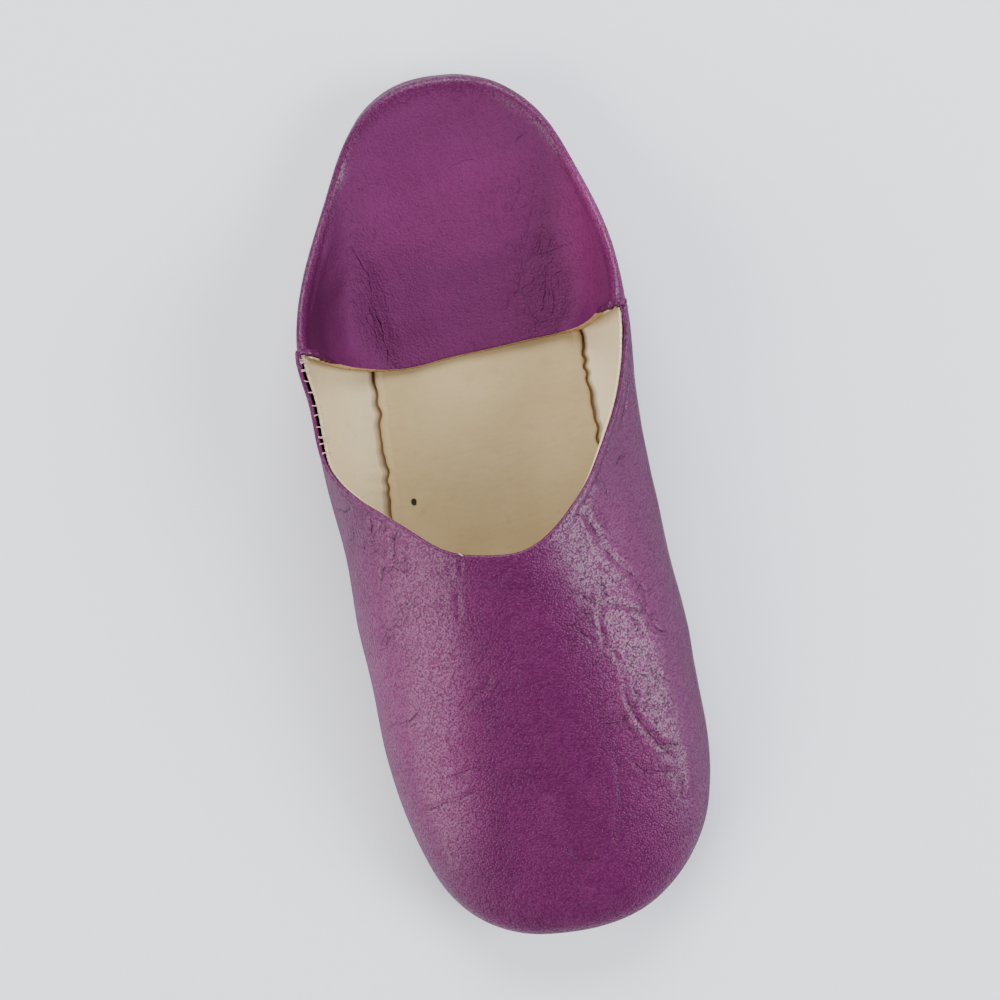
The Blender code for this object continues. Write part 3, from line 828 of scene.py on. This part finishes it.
def purple_leather(name, slant, gloss):
    """Fine-grained dyed sheepskin: soft gloss, small pebbles and fine lines that run along the slant."""
    n = Nodes(name)
    crinkle = n.value("crinkle")
    matt = n.value("matt")
    crease = n.value("crease")
    aside = n.value("crease_side")
    cloud = n.noise(0.030, 3.0, 0.6, 0.4)
    patch = n.noise(0.0075, 4.0, 0.6, 0.6)
    fine = n.noise(0.0011, 3.0, 0.6)
    pebbles = n.cells(0.00060)
    lines = n.noise(0.00072, 2.0, 0.50, 0.4, n.stretched((1.0, 3.4, 1.5), slant))
    broad = n.noise(0.0030, 3.0, 0.55, 0.6, n.stretched((1.0, 2.6, 1.5), slant))
    wander = n.noise(0.0024, 4.0, 0.62, 0.8)
    lively = n.ramp(matt, 0.0, 1.0, 1.0, 0.35)
    web = n.cells(0.0050, "DISTANCE_TO_EDGE", spot=n.warped(0.0042, 0.0032))
    web = n.times(n.ramp(web, 0.060, 0.0), n.ramp(n.noise(0.0080, 2.0), 0.38, 0.54))
    web = n.times(web, n.ramp(crinkle, 0.25, 0.80), lively)
    line = n.times(n.ramp(n.math("ABSOLUTE", aside), 0.30, 0.03), crease)
    bank = n.times(n.ramp(n.math("ABSOLUTE", n.math("ADD", aside, -0.55)), 0.45, 0.0), crease)
    # Painted shade: steep faces are darkened, most where they face the medial side and the toe; steepness
    # also dulls the gloss
    level = n.facing()
    steep = n.ramp(level["Z"], 0.78, 0.28)
    toewards = n.times(n.math("SUBTRACT", level["X"], level["Y"]), 0.8)
    dulled = n.math("ADD", matt, steep)
    base = n.layered(
        n.mix(n.ramp(cloud, 0.35, 0.68), PURPLE_DEEP, PURPLE),
        (n.ramp(patch, 0.50, 0.74, 0.0, 0.16), PURPLE_PALE),
        (n.times(matt, 0.55), PURPLE_DULL),
        # Painted sheen: the table's pale patches lighten the colour where the soft boxes' sheen and light
        # fall
        (n.times(n.value("pale"), n.ramp(cloud, 0.25, 0.75, 0.6, 1.0)), PURPLE_PALE),
        (n.ramp(fine, 0.55, 0.72, 0.0, 0.15), PURPLE_DARK),
        (n.times(n.ramp(pebbles, 0.42, 0.76, 0.0, 0.42), lively), PURPLE_DARK),
        (n.ramp(lines, 0.50, 0.34, 0.0, 0.24), PURPLE_DARK),
        # Painted shade: the grooves, the web of fine creases and the crease lines are darkened
        (n.ramp(n.value("groove"), 0.1, 1.0, 0.0, 0.70), PURPLE_LINE),
        (n.times(web, 0.70), PURPLE_LINE),
        (n.times(line, 0.92), PURPLE_LINE),
        # Painted shade on steep faces towards the medial side and the toe
        (n.times(steep, n.ramp(toewards, -0.1, 0.5, 0.15, 0.88)), PURPLE_DARK),
    )
    rough = n.math("ADD", n.ramp(patch, 0.3, 0.7, 0.33, 0.45), n.times(dulled, 0.20))
    tops = n.times(n.ramp(pebbles, 0.34, 0.66, 0.52, 0.06), n.ramp(lines, 0.38, 0.52, 0.45, 1.0))
    n.join(n.times(tops, n.ramp(dulled, 0.0, 1.0, 1.0, 0.0)), n.shader.inputs["Coat Weight"])
    normal = n.bumps(
        (pebbles, 0.70, -0.00030),
        (wander, 0.15, 0.00015),
        (n.times(lines, n.ramp(crinkle, 0.0, 1.0, 0.45, 1.0)), 0.75, 0.00055),
        (n.times(broad, n.ramp(crinkle, 0.0, 1.0, 0.15, 1.0)), 0.22, 0.00055),
        (web, 0.65, -0.00035),
        (bank, 0.50, 0.00022),
        (line, 0.80, -0.00035),
    )
    n.shader.inputs["Specular IOR Level"].default_value = gloss
    n.shader.inputs["Specular Tint"].default_value = (1.0, 0.66, 0.92, 1)
    n.shader.inputs["Coat Roughness"].default_value = 0.28
    n.shader.inputs["IOR"].default_value = 1.50
    return n.finish(base, rough, normal)


def cream_leather(name, colours, hole=None):
    """Undyed lining leather: matt, with faint fibres and stains, painted light and painted shade where the
    mesh's values ask, and a pin hole where hole says.
    """
    light, dark, warm = colours
    n = Nodes(name)
    cloud = n.noise(0.035, 3.0, 0.55, 0.3)
    fibre = n.noise(0.0011, 5.0, 0.65, 0.3, n.stretched((3.5, 1.0, 1.0), 8))
    spots = n.noise(0.0042, 2.0, 0.5)
    tints = [
        (n.ramp(fibre, 0.45, 0.75, 0.0, 0.22), warm),
        (n.ramp(spots, 0.62, 0.80, 0.0, 0.25), warm),
        # Painted light on the lining's medial side, and painted shade on its foot down in the crack
        (n.value("painted_light"), CREAM_PAINTED_LIGHT),
        (n.value("crack_shade"), CREAM_CRACK_SHADE),
    ]
    heights = [(fibre, 0.22, 0.00022), (n.noise(0.0060, 3.0, 0.5, 0.5), 0.25, 0.0006)]
    if hole:
        away = n.vector("SUBTRACT", n.spot, (hole[0] + SHIFT[0], hole[1] + SHIFT[1], 0))
        apart = n.vector("LENGTH", n.vector("MULTIPLY", away, (1.15, 0.85, 0)))
        apart = n.math("ADD", apart, n.ramp(n.noise(0.0008), 0.3, 0.7, -0.0001, 0.0001))
        # Painted shade: the pin hole's inside is painted near black, within a warmer ring
        inside = n.ramp(apart, 0.00102, 0.00078)
        tints += [(n.ramp(apart, 0.0016, 0.0008, 0.0, 0.4), warm), (inside, HOLE_SHADE)]
        heights.append((inside, 0.8, -0.0008))
    base = n.layered(n.mix(n.ramp(cloud, 0.35, 0.68), light, dark), *tints)
    return n.finish(base, n.ramp(fibre, 0.3, 0.7, 0.52, 0.68), n.bumps(*heights))


def edge_leather():
    """The raw tan edge of cut leather."""
    n = Nodes("tan_edge")
    fibre = n.noise(0.0008, 4.0, 0.6)
    base = n.mix(n.ramp(fibre, 0.35, 0.7), (0.40, 0.25, 0.10, 1), (0.22, 0.11, 0.04, 1))
    return n.finish(base, 0.8, n.bumps((fibre, 0.5, 0.0003)))


def thread(name, light, dark):
    """Twisted waxed thread."""
    n = Nodes(name)
    twist = n.noise(0.00035, 2.0, 0.5)
    return n.finish(n.mix(n.ramp(twist, 0.35, 0.65), light, dark), 0.7, n.bumps((twist, 0.6, 0.0001)))


def sole_leather():
    """Tanned sole leather, with layers in its edge, scuffs, and painted shade on its upper face, down in the
    gap beside the insole.
    """
    n = Nodes("sole_leather")
    cloud = n.noise(0.022, 4.0, 0.6, 0.5)
    layers = n.noise(0.0007, 4.0, 0.6, 0.2, n.stretched((9.0, 9.0, 1.0)))
    scuff = n.noise(0.0035, 5.0, 0.7, 0.4, n.stretched((1.0, 3.0, 1.0), 17))
    base = n.layered(
        n.mix(n.ramp(cloud, 0.35, 0.7), (0.36, 0.24, 0.13, 1), (0.27, 0.17, 0.085, 1)),
        (n.ramp(layers, 0.45, 0.70, 0.0, 0.45), (0.17, 0.095, 0.045, 1)),
        (n.ramp(scuff, 0.58, 0.78, 0.0, 0.45), (0.15, 0.095, 0.06, 1)),
        # Painted shade: faces that look up, such as the upper face down in the gap beside the insole, are
        # darkened
        (n.ramp(n.facing()["Z"], 0.6, 0.9), (0.060, 0.030, 0.012, 1)),
    )
    normal = n.bumps((layers, 0.20, 0.0002), (n.cells(0.0009), 0.15, -0.0001), (scuff, 0.25, 0.0003))
    return n.finish(base, n.ramp(scuff, 0.3, 0.7, 0.50, 0.72), normal)


def end_dip(outer, reach):
    """How far a skin turns in at its two seams, as a soft groove down the side of the shoe."""
    dip = np.zeros(outer.shape[:2])
    for way in (1, -1):
        columns = outer[::way]
        apart = np.linalg.norm(columns - columns[:1], axis=2) / MM
        dip[::way] += np.clip(1 - apart / reach, 0, 1) ** 2 * 0.55 * MM
    return dip


def topline(turn):
    """A function that gives the point so many millimetres inwards of and above the vamp's top here."""
    line = wall_line(turn)
    nearby = wall_line(turn + TURN_STEP * 5)
    rising = unit(line[-1] - line[-3])
    look = unit(np.cross(nearby[-1] - line[-1], rising))
    return lambda inwards, above: line[-1] + (above * rising - inwards * look) * MM


def make_vamp(leather):
    """The purple skin of the vamp and side walls, with its topline turned over to the inside."""
    turns = np.linspace(LATERAL_SEAM + SEAM_INSET, MEDIAL_SEAM - SEAM_INSET, VAMP_COLUMNS)
    turns = np.concatenate([[LATERAL_SEAM - SEAM_TUCK], turns, [MEDIAL_SEAM + SEAM_TUCK]])
    spacing = 1 - (1 - np.linspace(0, 1, VAMP_ROWS)) ** 1.25
    outer, below = wall_rows(turns, spacing, CAP_THICKNESS / 2)
    facing = wall_facing(turns, outer)
    from_top = below / MM
    moved, cut, aside = creased(outer, VAMP_CREASES)
    on_top = ease(outer[..., 2] / MM, 8.0, 16.0)
    moved, cut = moved * on_top, cut * on_top
    soft = waves(outer, 0.035, 9, 3) * 0.25 + waves(outer, 0.016, 15, 4) * 0.05
    calm = ease(from_top, 2.5, 9.0) * ease(outer[..., 2] / MM, 5.0, 12.0)
    moved = moved + soft * calm * MM
    side = np.abs(turns - 0.5)[:, None]
    banded = 0.10 + 0.90 * ease(side, 0.12, 0.24)
    band = np.clip(1 - ((from_top - BAND_WIDTH / MM / 2) / (BAND_WIDTH / MM / 2)) ** 2, 0, None) ** 0.5
    groove = bell(from_top, BAND_WIDTH / MM + 0.2, 0.45)
    second = ease(turns, 0.745, 0.775) * (1 - ease(turns, 0.835, 0.846))
    ridge = bell(from_top, 4.0, 0.8) - 0.8 * bell(from_top, 5.6, 0.7)
    moved = moved + banded * (BAND_RISE * band - BAND_GROOVE * groove) + second[:, None] * ridge * 0.32 * MM
    dip = end_dip(outer, 2.4)
    moved = moved - dip
    moved[[0, -1]] = -1.15 * MM
    skin = outer + moved[..., None] * facing
    last, look = skin[:, -1], facing[:, -1]
    rising = outer[:, -1] - outer[:, -2]
    rising = rising / np.linalg.norm(rising, axis=1, keepdims=True)
    radius = CAP_THICKNESS / 2
    centre = last - radius * look
    cap = []
    for angle in np.linspace(0, math.pi, 11)[1:]:
        cap.append(centre + radius * (math.cos(angle) * look + math.sin(angle) * rising))
    for down in np.linspace(0, CAP_DEPTH, 4)[1:]:
        cap.append(cap[9] - down * rising)
    skin = np.concatenate([skin, np.stack(cap, 1)], 1)
    # Painted shade in the grooves: under the band, along the medial second groove, in the seam dips and at
    # the seam ends
    groove_shade = groove * banded * 0.6
    groove_shade = np.maximum(groove_shade, 0.6 * second[:, None] * bell(from_top, 5.6, 0.6))
    groove_shade = np.maximum(groove_shade, dip / MM)
    groove_shade[[0, -1]] = 1
    none = np.zeros((len(turns), len(cap)))
    values = {"crease": cut, "crease_side": aside, "groove": groove_shade}
    values["crinkle"] = patched(outer, VAMP_CRINKLES)
    # Painted sheen where the soft boxes light the vamp's sides
    values["pale"] = patched(outer, VAMP_PAINTED_SHEEN)
    values = {key: np.concatenate([numbers, none], 1) for key, numbers in values.items()}
    faces = grid_faces(*skin.shape[:2])
    return make_piece("vamp_leather", lift(skin).reshape(-1, 3), faces, [leather], values=values)


def lining_gap(turns):
    """How far the lining's top edge stands off the turned topline: open along the lateral side."""
    lateral = ease(turns, 0.160, 0.166) * (1 - ease(turns, 0.225, 0.262))
    medial = ease(turns, 0.800, 0.825)
    return (0.75 * lateral + 0.30 * medial) * MM


def make_lining(cream):
    """The cream lining of the vamp and side walls, from the insole up to just under the turned topline."""
    turns = np.linspace(LATERAL_SEAM - LINING_PAST_SEAM, MEDIAL_SEAM + LINING_PAST_SEAM, LINING_COLUMNS)
    spacing = 1 - (1 - np.linspace(0, 1, LINING_ROWS)) ** 1.2
    spacing = np.insert(spacing, 1, (0.006, 0.014))
    outer, below = wall_rows(turns, spacing, 0.0006)
    facing = wall_facing(turns, outer)
    soft = waves(outer, 0.020, 8, 8) * 0.18 * MM * ease(below / MM, 1.5, 8)
    stand = lining_gap(turns)[:, None] * (1 - ease(below / MM, 0.5, 6.0))
    teeth = 0.18 * MM * np.sin(np.arange(len(turns)) * 1.9) * (below < 0.0015).T
    inner = outer - (UPPER_WALL + soft + stand)[..., None] * facing
    inner[:, 0, :2] = sole_edge(turns) - UPPER_WALL * outward(turns)
    inner[:, 0, 2] = UPPER_BASE
    foot = 1 - ease(inner[..., 2], INSOLE_TOP, INSOLE_TOP + 0.0025)
    creep = np.maximum(seam_wave(turns) - 0.10 * MM, 0)
    level = INSOLE_TOP + 0.10 * MM
    over = inner[..., 2] - level
    inner[..., 2] = level + 0.5 * (over + np.sqrt(over**2 + (0.5 * MM) ** 2))
    inner[..., :2] -= (foot * creep[:, None])[..., None] * outward(turns)[:, None]
    inner[:, -1] += teeth.T[:, -1:] * np.array([0, 0, 1.0])
    edge = inner[:, -1] + 0.0007 * facing[:, -1] + np.array([0, 0, 0.0001])
    under = edge - np.array([0, 0, 0.0020])
    inner[:, 0, 2] = INSOLE_TOP - 0.00085
    inner[:, 1, 2] -= 0.15 * MM
    tucked = inner[:, 0].copy()
    tucked[:, :2] -= 0.0018 * outward(turns)
    skin = np.concatenate([tucked[:, None], inner, edge[:, None], under[:, None]], 1)
    # Painted shade on the lining's foot, down in the crack beside the insole
    crack_shade = np.zeros(skin.shape[:2])
    crack_shade[:, :2] = 1
    crack_shade[:, 2] = 0.35
    # Painted light: the lining is lighter towards the medial side, where the light falls on it
    painted_light = ease(skin[..., 0], 0.012, 0.030)
    faces = [face[::-1] for face in grid_faces(*skin.shape[:2])]
    return make_piece("vamp_lining", lift(skin).reshape(-1, 3), faces, [cream],
                      values={"crack_shade": crack_shade, "painted_light": painted_light})


def quarter_skin(turns):
    """The quarter's purple face: up its wall, over the fold and along the flap to its front edge."""
    columns = []
    for turn in turns:
        wall = wall_line(turn)
        standing = length_of(wall) - FOLD_RADIUS
        fold, flap = fold_line(turn, walk_to(wall, [standing])[0])
        rows = [
            walk_to(wall, np.linspace(0, 1, WALL_ROWS + 1)[:-1] * standing),
            walk_to(fold, np.linspace(0, 1, FOLD_ROWS + 1)[:-1] * length_of(fold)),
            walk_to(flap, np.linspace(0, 1, FLAP_ROWS + 1) ** 1.1 * length_of(flap)),
        ]
        columns.append(np.concatenate(rows))
    return np.array(columns)


def make_quarter(leather, cream, tan):
    """The heel quarter: it stands on the sole, folds over its rim and lies on the insole."""
    turns = np.linspace(MEDIAL_SEAM - 1 + SEAM_INSET, LATERAL_SEAM - SEAM_INSET, QUARTER_COLUMNS)
    outer = quarter_skin(turns)
    facing = wall_facing(turns, outer)
    moved, cut, aside = creased(outer, FLAP_CREASES)
    row = np.arange(outer.shape[1])
    lying = ease(row, WALL_ROWS + FOLD_ROWS, WALL_ROWS + FOLD_ROWS + 10)
    standing = ease(row, 3, 14) * (1 - ease(row, WALL_ROWS - 6, WALL_ROWS))
    soft = waves(outer, 0.030, 9, 13) * 0.25 + waves(outer, 0.012, 9, 14) * 0.12
    column = np.arange(len(turns))
    ends = ease(np.minimum(column, column[::-1]), 0, 8)
    upright = 1 - lying
    moved = moved * lying + soft * MM * (lying + standing) * ends[:, None] - end_dip(outer, 1.4) * upright
    skin = outer + moved[..., None] * facing
    inner = outer - QUARTER_WALL * facing
    inner[:, 0, :2] = sole_edge(turns) - QUARTER_WALL * outward(turns)
    inner[:, 0, 2] = UPPER_BASE
    ragged = 0.25 * MM * np.sin(np.arange(len(turns)) * 0.9 + 2 * np.sin(np.arange(len(turns)) * 0.13))
    front = skin[:, -1] - skin[:, -2]
    front /= np.linalg.norm(front, axis=1, keepdims=True)
    rim = skin[:, -1] * 0.35 + inner[:, -1] * 0.65 + front * (0.35 * MM + 0.5 * ragged[:, None])
    sheet = np.concatenate([skin, rim[:, None], inner[:, ::-1]], 1)
    count = sheet.shape[1]
    faces = grid_faces(*sheet.shape[:2])
    rows_of = np.tile(np.arange(count - 1), len(turns) - 1)
    kinds = np.where(rows_of < outer.shape[1] - 1, 0, np.where(rows_of < outer.shape[1] + 1, 2, 1))
    none = np.zeros((len(turns), count - outer.shape[1]))
    # The groove value carries painted shade in the seam dips
    values = {"crease": cut * lying, "crease_side": aside, "groove": end_dip(outer, 1.4) / MM * upright}
    values |= {"crinkle": patched(outer, FLAP_CRINKLES) * lying, "matt": lying * np.ones(cut.shape)}
    # Painted light on the flap's medial rim and its middle
    values["pale"] = patched(outer, FLAP_PAINTED_LIGHT)
    values = {key: np.concatenate([numbers, none], 1) for key, numbers in values.items()}
    points = lift(sheet).reshape(-1, 3)
    return make_piece("quarter_leather", points, faces, [leather, cream, tan], kinds, values)


def make_corner(name, leather, seam, inwards, knotted):
    """The rolled end of the leather at a corner of the flap, from the topline over the seam."""
    steps = 60
    knot_steps = 24
    path = [topline(seam + inwards * apart)(0.6, -0.35) for apart in (0.0170, 0.0105, 0.0045)]
    top = topline(seam)
    path.append(top(1.2, 0.55))
    flap = quarter_skin(seam - inwards * np.array([0.0008, 0.0050, 0.0105, 0.0165]) * (0.5 if knotted else 1))
    middle = flap[0, WALL_ROWS + FOLD_ROWS // 2]
    path.append(middle * 0.6 + flap[0, -1] * 0.4 + 0.4 * MM * UP)
    path += [column[-1] - 0.30 * MM * UP for column in flap[1:]]
    along = np.arange(steps)
    share = along / (steps - 1)
    radius = np.interp(share, (0, 0.12, 0.35, 0.5, 0.62, 0.85, 1), (0.1, 0.80, 0.95, 1.35, 1.2, 0.7, 0.1))
    radius = radius * (1 + 0.10 * np.sin(along * 0.9)) * MM
    tubes = []
    if knotted:
        for pinch in (27, 36):
            radius *= 1 - 0.35 * bell(along, pinch, 1.6)
        thick = np.interp(np.linspace(0, 1, knot_steps), (0, 0.3, 0.7, 1), (0.2, 0.62, 0.58, 0.2)) * MM
        seamwards = (wall_line(seam - inwards * 0.004)[-1] - top(0, 0)) / 2
        for turn_by, reach in ((0.4, 1.0), (-0.6, 0.8)):
            knot = [
                top(2.4 * reach, -0.9) - seamwards,
                top(1.4, 0.9) - 0.3 * seamwards,
                top(0.3, 1.0) + turn_by * seamwards,
                top(-0.1, -0.2) + 1.3 * turn_by * seamwards,
            ]
            tubes.append(strand(knot, knot_steps, thick, 14))
    tubes.append(strand(path, steps, radius, 20, 0.85))
    return make_tubes(name, tubes, leather)


def make_stitches(material):
    """The whip stitches across the lateral topline's open gap, its frayed ends and a loose end."""
    tubes = []
    jitter = np.random.default_rng(5)
    for place_at in np.arange(0.1655, 0.2460, 0.0082):
        turn = place_at + jitter.uniform(-0.0016, 0.0016)
        top = topline(turn)
        gap = float(lining_gap(np.array([turn]))[0])
        for _ in range(jitter.integers(1, 4)):
            lean = wall_line(turn + jitter.uniform(-0.0010, 0.0022))[-1] - top(0, 0)
            aside = jitter.uniform(-0.3, 0.3) * MM * unit(lean)
            inside = (UPPER_WALL + gap) / MM + jitter.uniform(0.0, 0.4)
            path = [
                top(0.75, -1.1),
                top(0.80, 0.05) + aside,
                top(1.35, jitter.uniform(0.05, 0.35)) + 0.3 * lean,
                top(inside, 0.10) + 0.7 * lean,
                top(inside + 0.30, -0.9) + lean,
            ]
            tubes.append(strand(path, 14, jitter.uniform(0.10, 0.15) * MM))
    for _ in range(9):
        turn = jitter.uniform(0.1622, 0.1672)
        top = topline(turn)
        along = (wall_line(turn + 0.002)[-1] - top(0, 0)) * jitter.uniform(-1.0, 1.0)
        reach = jitter.uniform(0.9, 1.6)
        path = [
            top(0.9, -0.6),
            top(1.1, jitter.uniform(0.0, 0.4)) + 0.3 * along,
            top(1.8 * reach, jitter.uniform(-0.2, 0.3)) - 0.2 * along,
            top(2.2 * reach, -0.9) + along,
        ]
        tubes.append(strand(path, 14, jitter.uniform(0.08, 0.13) * MM))
    bit = np.array([*THREAD_SPECK, INSTEP_HEIGHT + 0.0001])
    steps = np.array([(-0.5, 0.3, -0.7), (-0.2, 0.1, -0.1), (0.2, -0.2, -0.1), (0.5, -0.4, -0.6)])
    tubes.append(strand(bit + steps * MM, 10, 0.16 * MM))
    return make_tubes("topline_stitches", tubes, material)


def make_seam_stitches(material):
    """Small purple stitches down both side seams."""
    tubes = []
    for seam, way in ((LATERAL_SEAM, 1), (MEDIAL_SEAM, -1)):
        lines = [wall_line(seam + way * apart) for apart in (0.0022, 0, -0.0022)]
        out = point(outward(seam), 0) * MM
        for share in np.linspace(0.16, 0.80, 8):
            a, b, c = (walk_to(line, [share * length_of(line)])[0] for line in lines)
            path = [a - 0.6 * out, a + 0.05 * out, b - 0.05 * out, c + 0.05 * out, c - 0.6 * out]
            tubes.append(strand(path, 12, 0.16 * MM))
    return make_tubes("seam_stitches", tubes, material)


def make_plate(name, rings, material, wobble=None, relief=None):
    """A plate with the sole's outline, from rings of (inset, height) up its edge, filled across."""
    count = 2 * PLATE_STATIONS
    turns = np.arange(count) / count
    edge = sole_edge(turns)
    grid = []
    for inset, height in rings:
        shifted = inset + (wobble(turns, inset) if wobble else 0)
        plan = edge - np.reshape(shifted, (-1, 1)) * outward(turns)
        grid.append(np.column_stack([plan, np.full(count, height)]))
    grid = np.stack(grid, 1)
    levels = len(rings)
    points = [grid.reshape(-1, 3)]
    faces = grid_faces(count, levels, closed=True)
    start = count * levels
    share = np.linspace(0, 1, PLATE_ACROSS + 1)[1:-1, None]
    for level in (levels - 1, 0):
        rim = grid[:, level]
        index = np.arange(count) * levels + level
        rows = []
        for i in range(1, PLATE_STATIONS):
            points.append(rim[i] + (rim[-i] - rim[i]) * share)
            rows.append([index[i], *range(start, start + len(share)), index[-i]])
            start += len(share)
        for first, second in zip(rows[:-1], rows[1:]):
            for k in range(len(first) - 1):
                faces.append((first[k], second[k], second[k + 1], first[k + 1]))
        for tip, row in ((index[0], rows[0]), (index[PLATE_STATIONS], rows[-1])):
            for k in range(len(row) - 1):
                faces.append((tip, row[k], row[k + 1]))
    points = np.concatenate(points)
    obj = make_piece(name, lift(relief(points) if relief else points), faces, [material])
    face_outwards(obj)
    return obj


def make_outsole(leather):
    """The outsole, with its edge rounded a little at the bottom and the top."""
    rounding = ((0.0009, 0.0), (0.0003, 0.00018), (0.0, 0.0007))
    rings = [(inset - SOLE_LEDGE, height) for inset, height in rounding]
    rings += [(inset - SOLE_LEDGE, SOLE_THICKNESS - height) for inset, height in reversed(rounding)]
    return make_plate("outsole_leather", rings, leather)


def make_insole(cream):
    """The insole: its edge is cut in small waves and stands a little proud of a dark gap along the walls."""
    inset = UPPER_WALL + GAP

    def wobble(turns, at):
        near = np.clip(1 - (at - inset) / 0.005, 0, 1)
        wide = 0.5 + 0.5 * np.sin(2 * math.pi * turns * 41 + 2.0)
        return (seam_wave(turns) + (0.05 + 0.30 * wide) * MM) * near

    def relief(points):
        moved = points.copy()
        raised = waves(points, 0.045, 7, 21) * 0.12 * MM + waves(points, 0.016, 7, 22) * 0.05 * MM
        top = points[:, 2] > INSOLE_TOP - 0.0004
        moved[:, 2] += np.where(top, np.clip(raised, -0.0002, 0.0002), 0)
        return moved

    rings = [(inset, UPPER_BASE)] + [(inset + inwards, INSOLE_TOP + above) for inwards, above in INSOLE_EDGE]
    return make_plate("insole_leather", rings, cream, wobble, relief)


def make_floor():
    """A pale floor with nothing else on it."""
    n = Nodes("pale_floor")
    speck = n.ramp(n.noise(0.004, 3.0, 0.6), 0.3, 0.7)
    n.join(n.mix(speck, (0.890, 0.915, 1.000, 1), (0.900, 0.925, 1.000, 1)), n.shader.inputs["Base Color"])
    n.shader.inputs["Roughness"].default_value = 0.9
    n.shader.inputs["Specular IOR Level"].default_value = 0.1
    mesh = bpy.data.meshes.new("floor")
    corners = [(x * FLOOR_HALF, y * FLOOR_HALF, 0) for x, y in ((-1, -1), (1, -1), (1, 1), (-1, 1))]
    mesh.from_pydata(corners, [], [(0, 1, 2, 3)])
    mesh.materials.append(n.material)
    obj = bpy.data.objects.new("floor", mesh)
    bpy.context.scene.collection.objects.link(obj)
    obj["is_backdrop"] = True


def make_lights():
    """Soft boxes at the left, at the right and behind the heel, and a dim pale room."""
    for name, place_at, size, power, colour in LIGHTS:
        light = bpy.data.lights.new(name, "AREA")
        light.shape = "RECTANGLE"
        light.size, light.size_y = size
        light.energy = power
        light.color = colour
        obj = bpy.data.objects.new(name, light)
        bpy.context.scene.collection.objects.link(obj)
        obj.location = place_at
        way = Vector(LIGHT_AIM) - Vector(place_at)
        obj.rotation_euler = way.to_track_quat("-Z", "Y").to_euler()
    world = bpy.data.worlds.new("studio")
    world.use_nodes = True
    background = world.node_tree.nodes["Background"]
    background.inputs["Color"].default_value = ROOM_COLOUR
    background.inputs["Strength"].default_value = ROOM_LIGHT
    bpy.context.scene.world = world


def make_camera():
    """The camera looks down from the photograph's place, turned so that the heel leans to the left."""
    eye = Vector((CAMERA_OVER[0] + SHIFT[0], CAMERA_OVER[1] + SHIFT[1], CAMERA_HEIGHT))
    low, high = (Vector(corner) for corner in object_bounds())
    target = (low + high) / 2
    target.z = CAMERA_AIM
    back = (eye - target).normalized()
    roll = math.radians(CAMERA_ROLL)
    heelward = Vector((math.sin(roll), math.cos(roll), 0))
    right = heelward.cross(back).normalized()
    above = back.cross(right)
    data = bpy.data.cameras.new("camera")
    data.sensor_width = SENSOR
    data.lens = SENSOR * (eye - target).length / CAMERA_VIEW
    data.clip_start = 0.01
    camera = bpy.data.objects.new("camera", data)
    turn = Matrix((right, above, back)).transposed()
    camera.matrix_world = Matrix.Translation(eye) @ turn.to_4x4()
    bpy.context.scene.collection.objects.link(camera)
    bpy.context.scene.camera = camera


def frame_shift():
    """How far the part moved its shapes to stand over the middle of the frame."""
    turns = np.arange(PART_STATIONS) / PART_STATIONS
    plan = sole_edge(turns) + SOLE_LEDGE * outward(turns)
    return np.array(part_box("outsole")[0][:2]) - plan.min(0)


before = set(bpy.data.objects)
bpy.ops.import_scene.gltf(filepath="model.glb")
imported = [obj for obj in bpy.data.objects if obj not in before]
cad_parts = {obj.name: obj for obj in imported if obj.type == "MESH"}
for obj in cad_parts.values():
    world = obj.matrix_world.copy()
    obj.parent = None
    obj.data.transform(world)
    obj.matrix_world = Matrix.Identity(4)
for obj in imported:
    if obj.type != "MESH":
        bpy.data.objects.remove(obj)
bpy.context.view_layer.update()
SHIFT = frame_shift()

vamp_purple = purple_leather("vamp_purple", slant=-38, gloss=0.30)
quarter_purple = purple_leather("quarter_purple", slant=12, gloss=0.28)
lining_cream = cream_leather("lining_leather", LINING_CREAM)
insole_cream = cream_leather("insole_leather", INSOLE_CREAM, PIN_HOLE)
tan_edge = edge_leather()
sole_tan = sole_leather()
cream_thread = thread("cream_thread", (0.56, 0.45, 0.34, 1), (0.34, 0.24, 0.17, 1))
purple_thread = thread("purple_thread", PURPLE_DARK, PURPLE_LINE)

vamp = make_vamp(vamp_purple)
lining = make_lining(lining_cream)
quarter = make_quarter(quarter_purple, lining_cream, tan_edge)
outsole = make_outsole(sole_tan)
insole = make_insole(insole_cream)
lateral_corner = make_corner("lateral_corner", quarter_purple, LATERAL_SEAM, inwards=1, knotted=False)
medial_corner = make_corner("medial_corner", quarter_purple, MEDIAL_SEAM, inwards=-1, knotted=True)
stitches = make_stitches(cream_thread)
seam_stitches = make_seam_stitches(purple_thread)

for piece, slot in (
    (vamp, "purple_leather"),
    (quarter, "purple_leather"),
    (lateral_corner, "purple_leather"),
    (medial_corner, "purple_leather"),
    (seam_stitches, "purple_leather"),
    (stitches, "natural_leather"),
    (lining, "natural_leather"),
    (insole, "natural_leather"),
    (outsole, "sole_leather"),
):
    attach(piece, "root")
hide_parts("upper")
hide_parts("heel_quarter")
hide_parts("outsole")
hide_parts("insole")

make_floor()
make_lights()
make_camera()
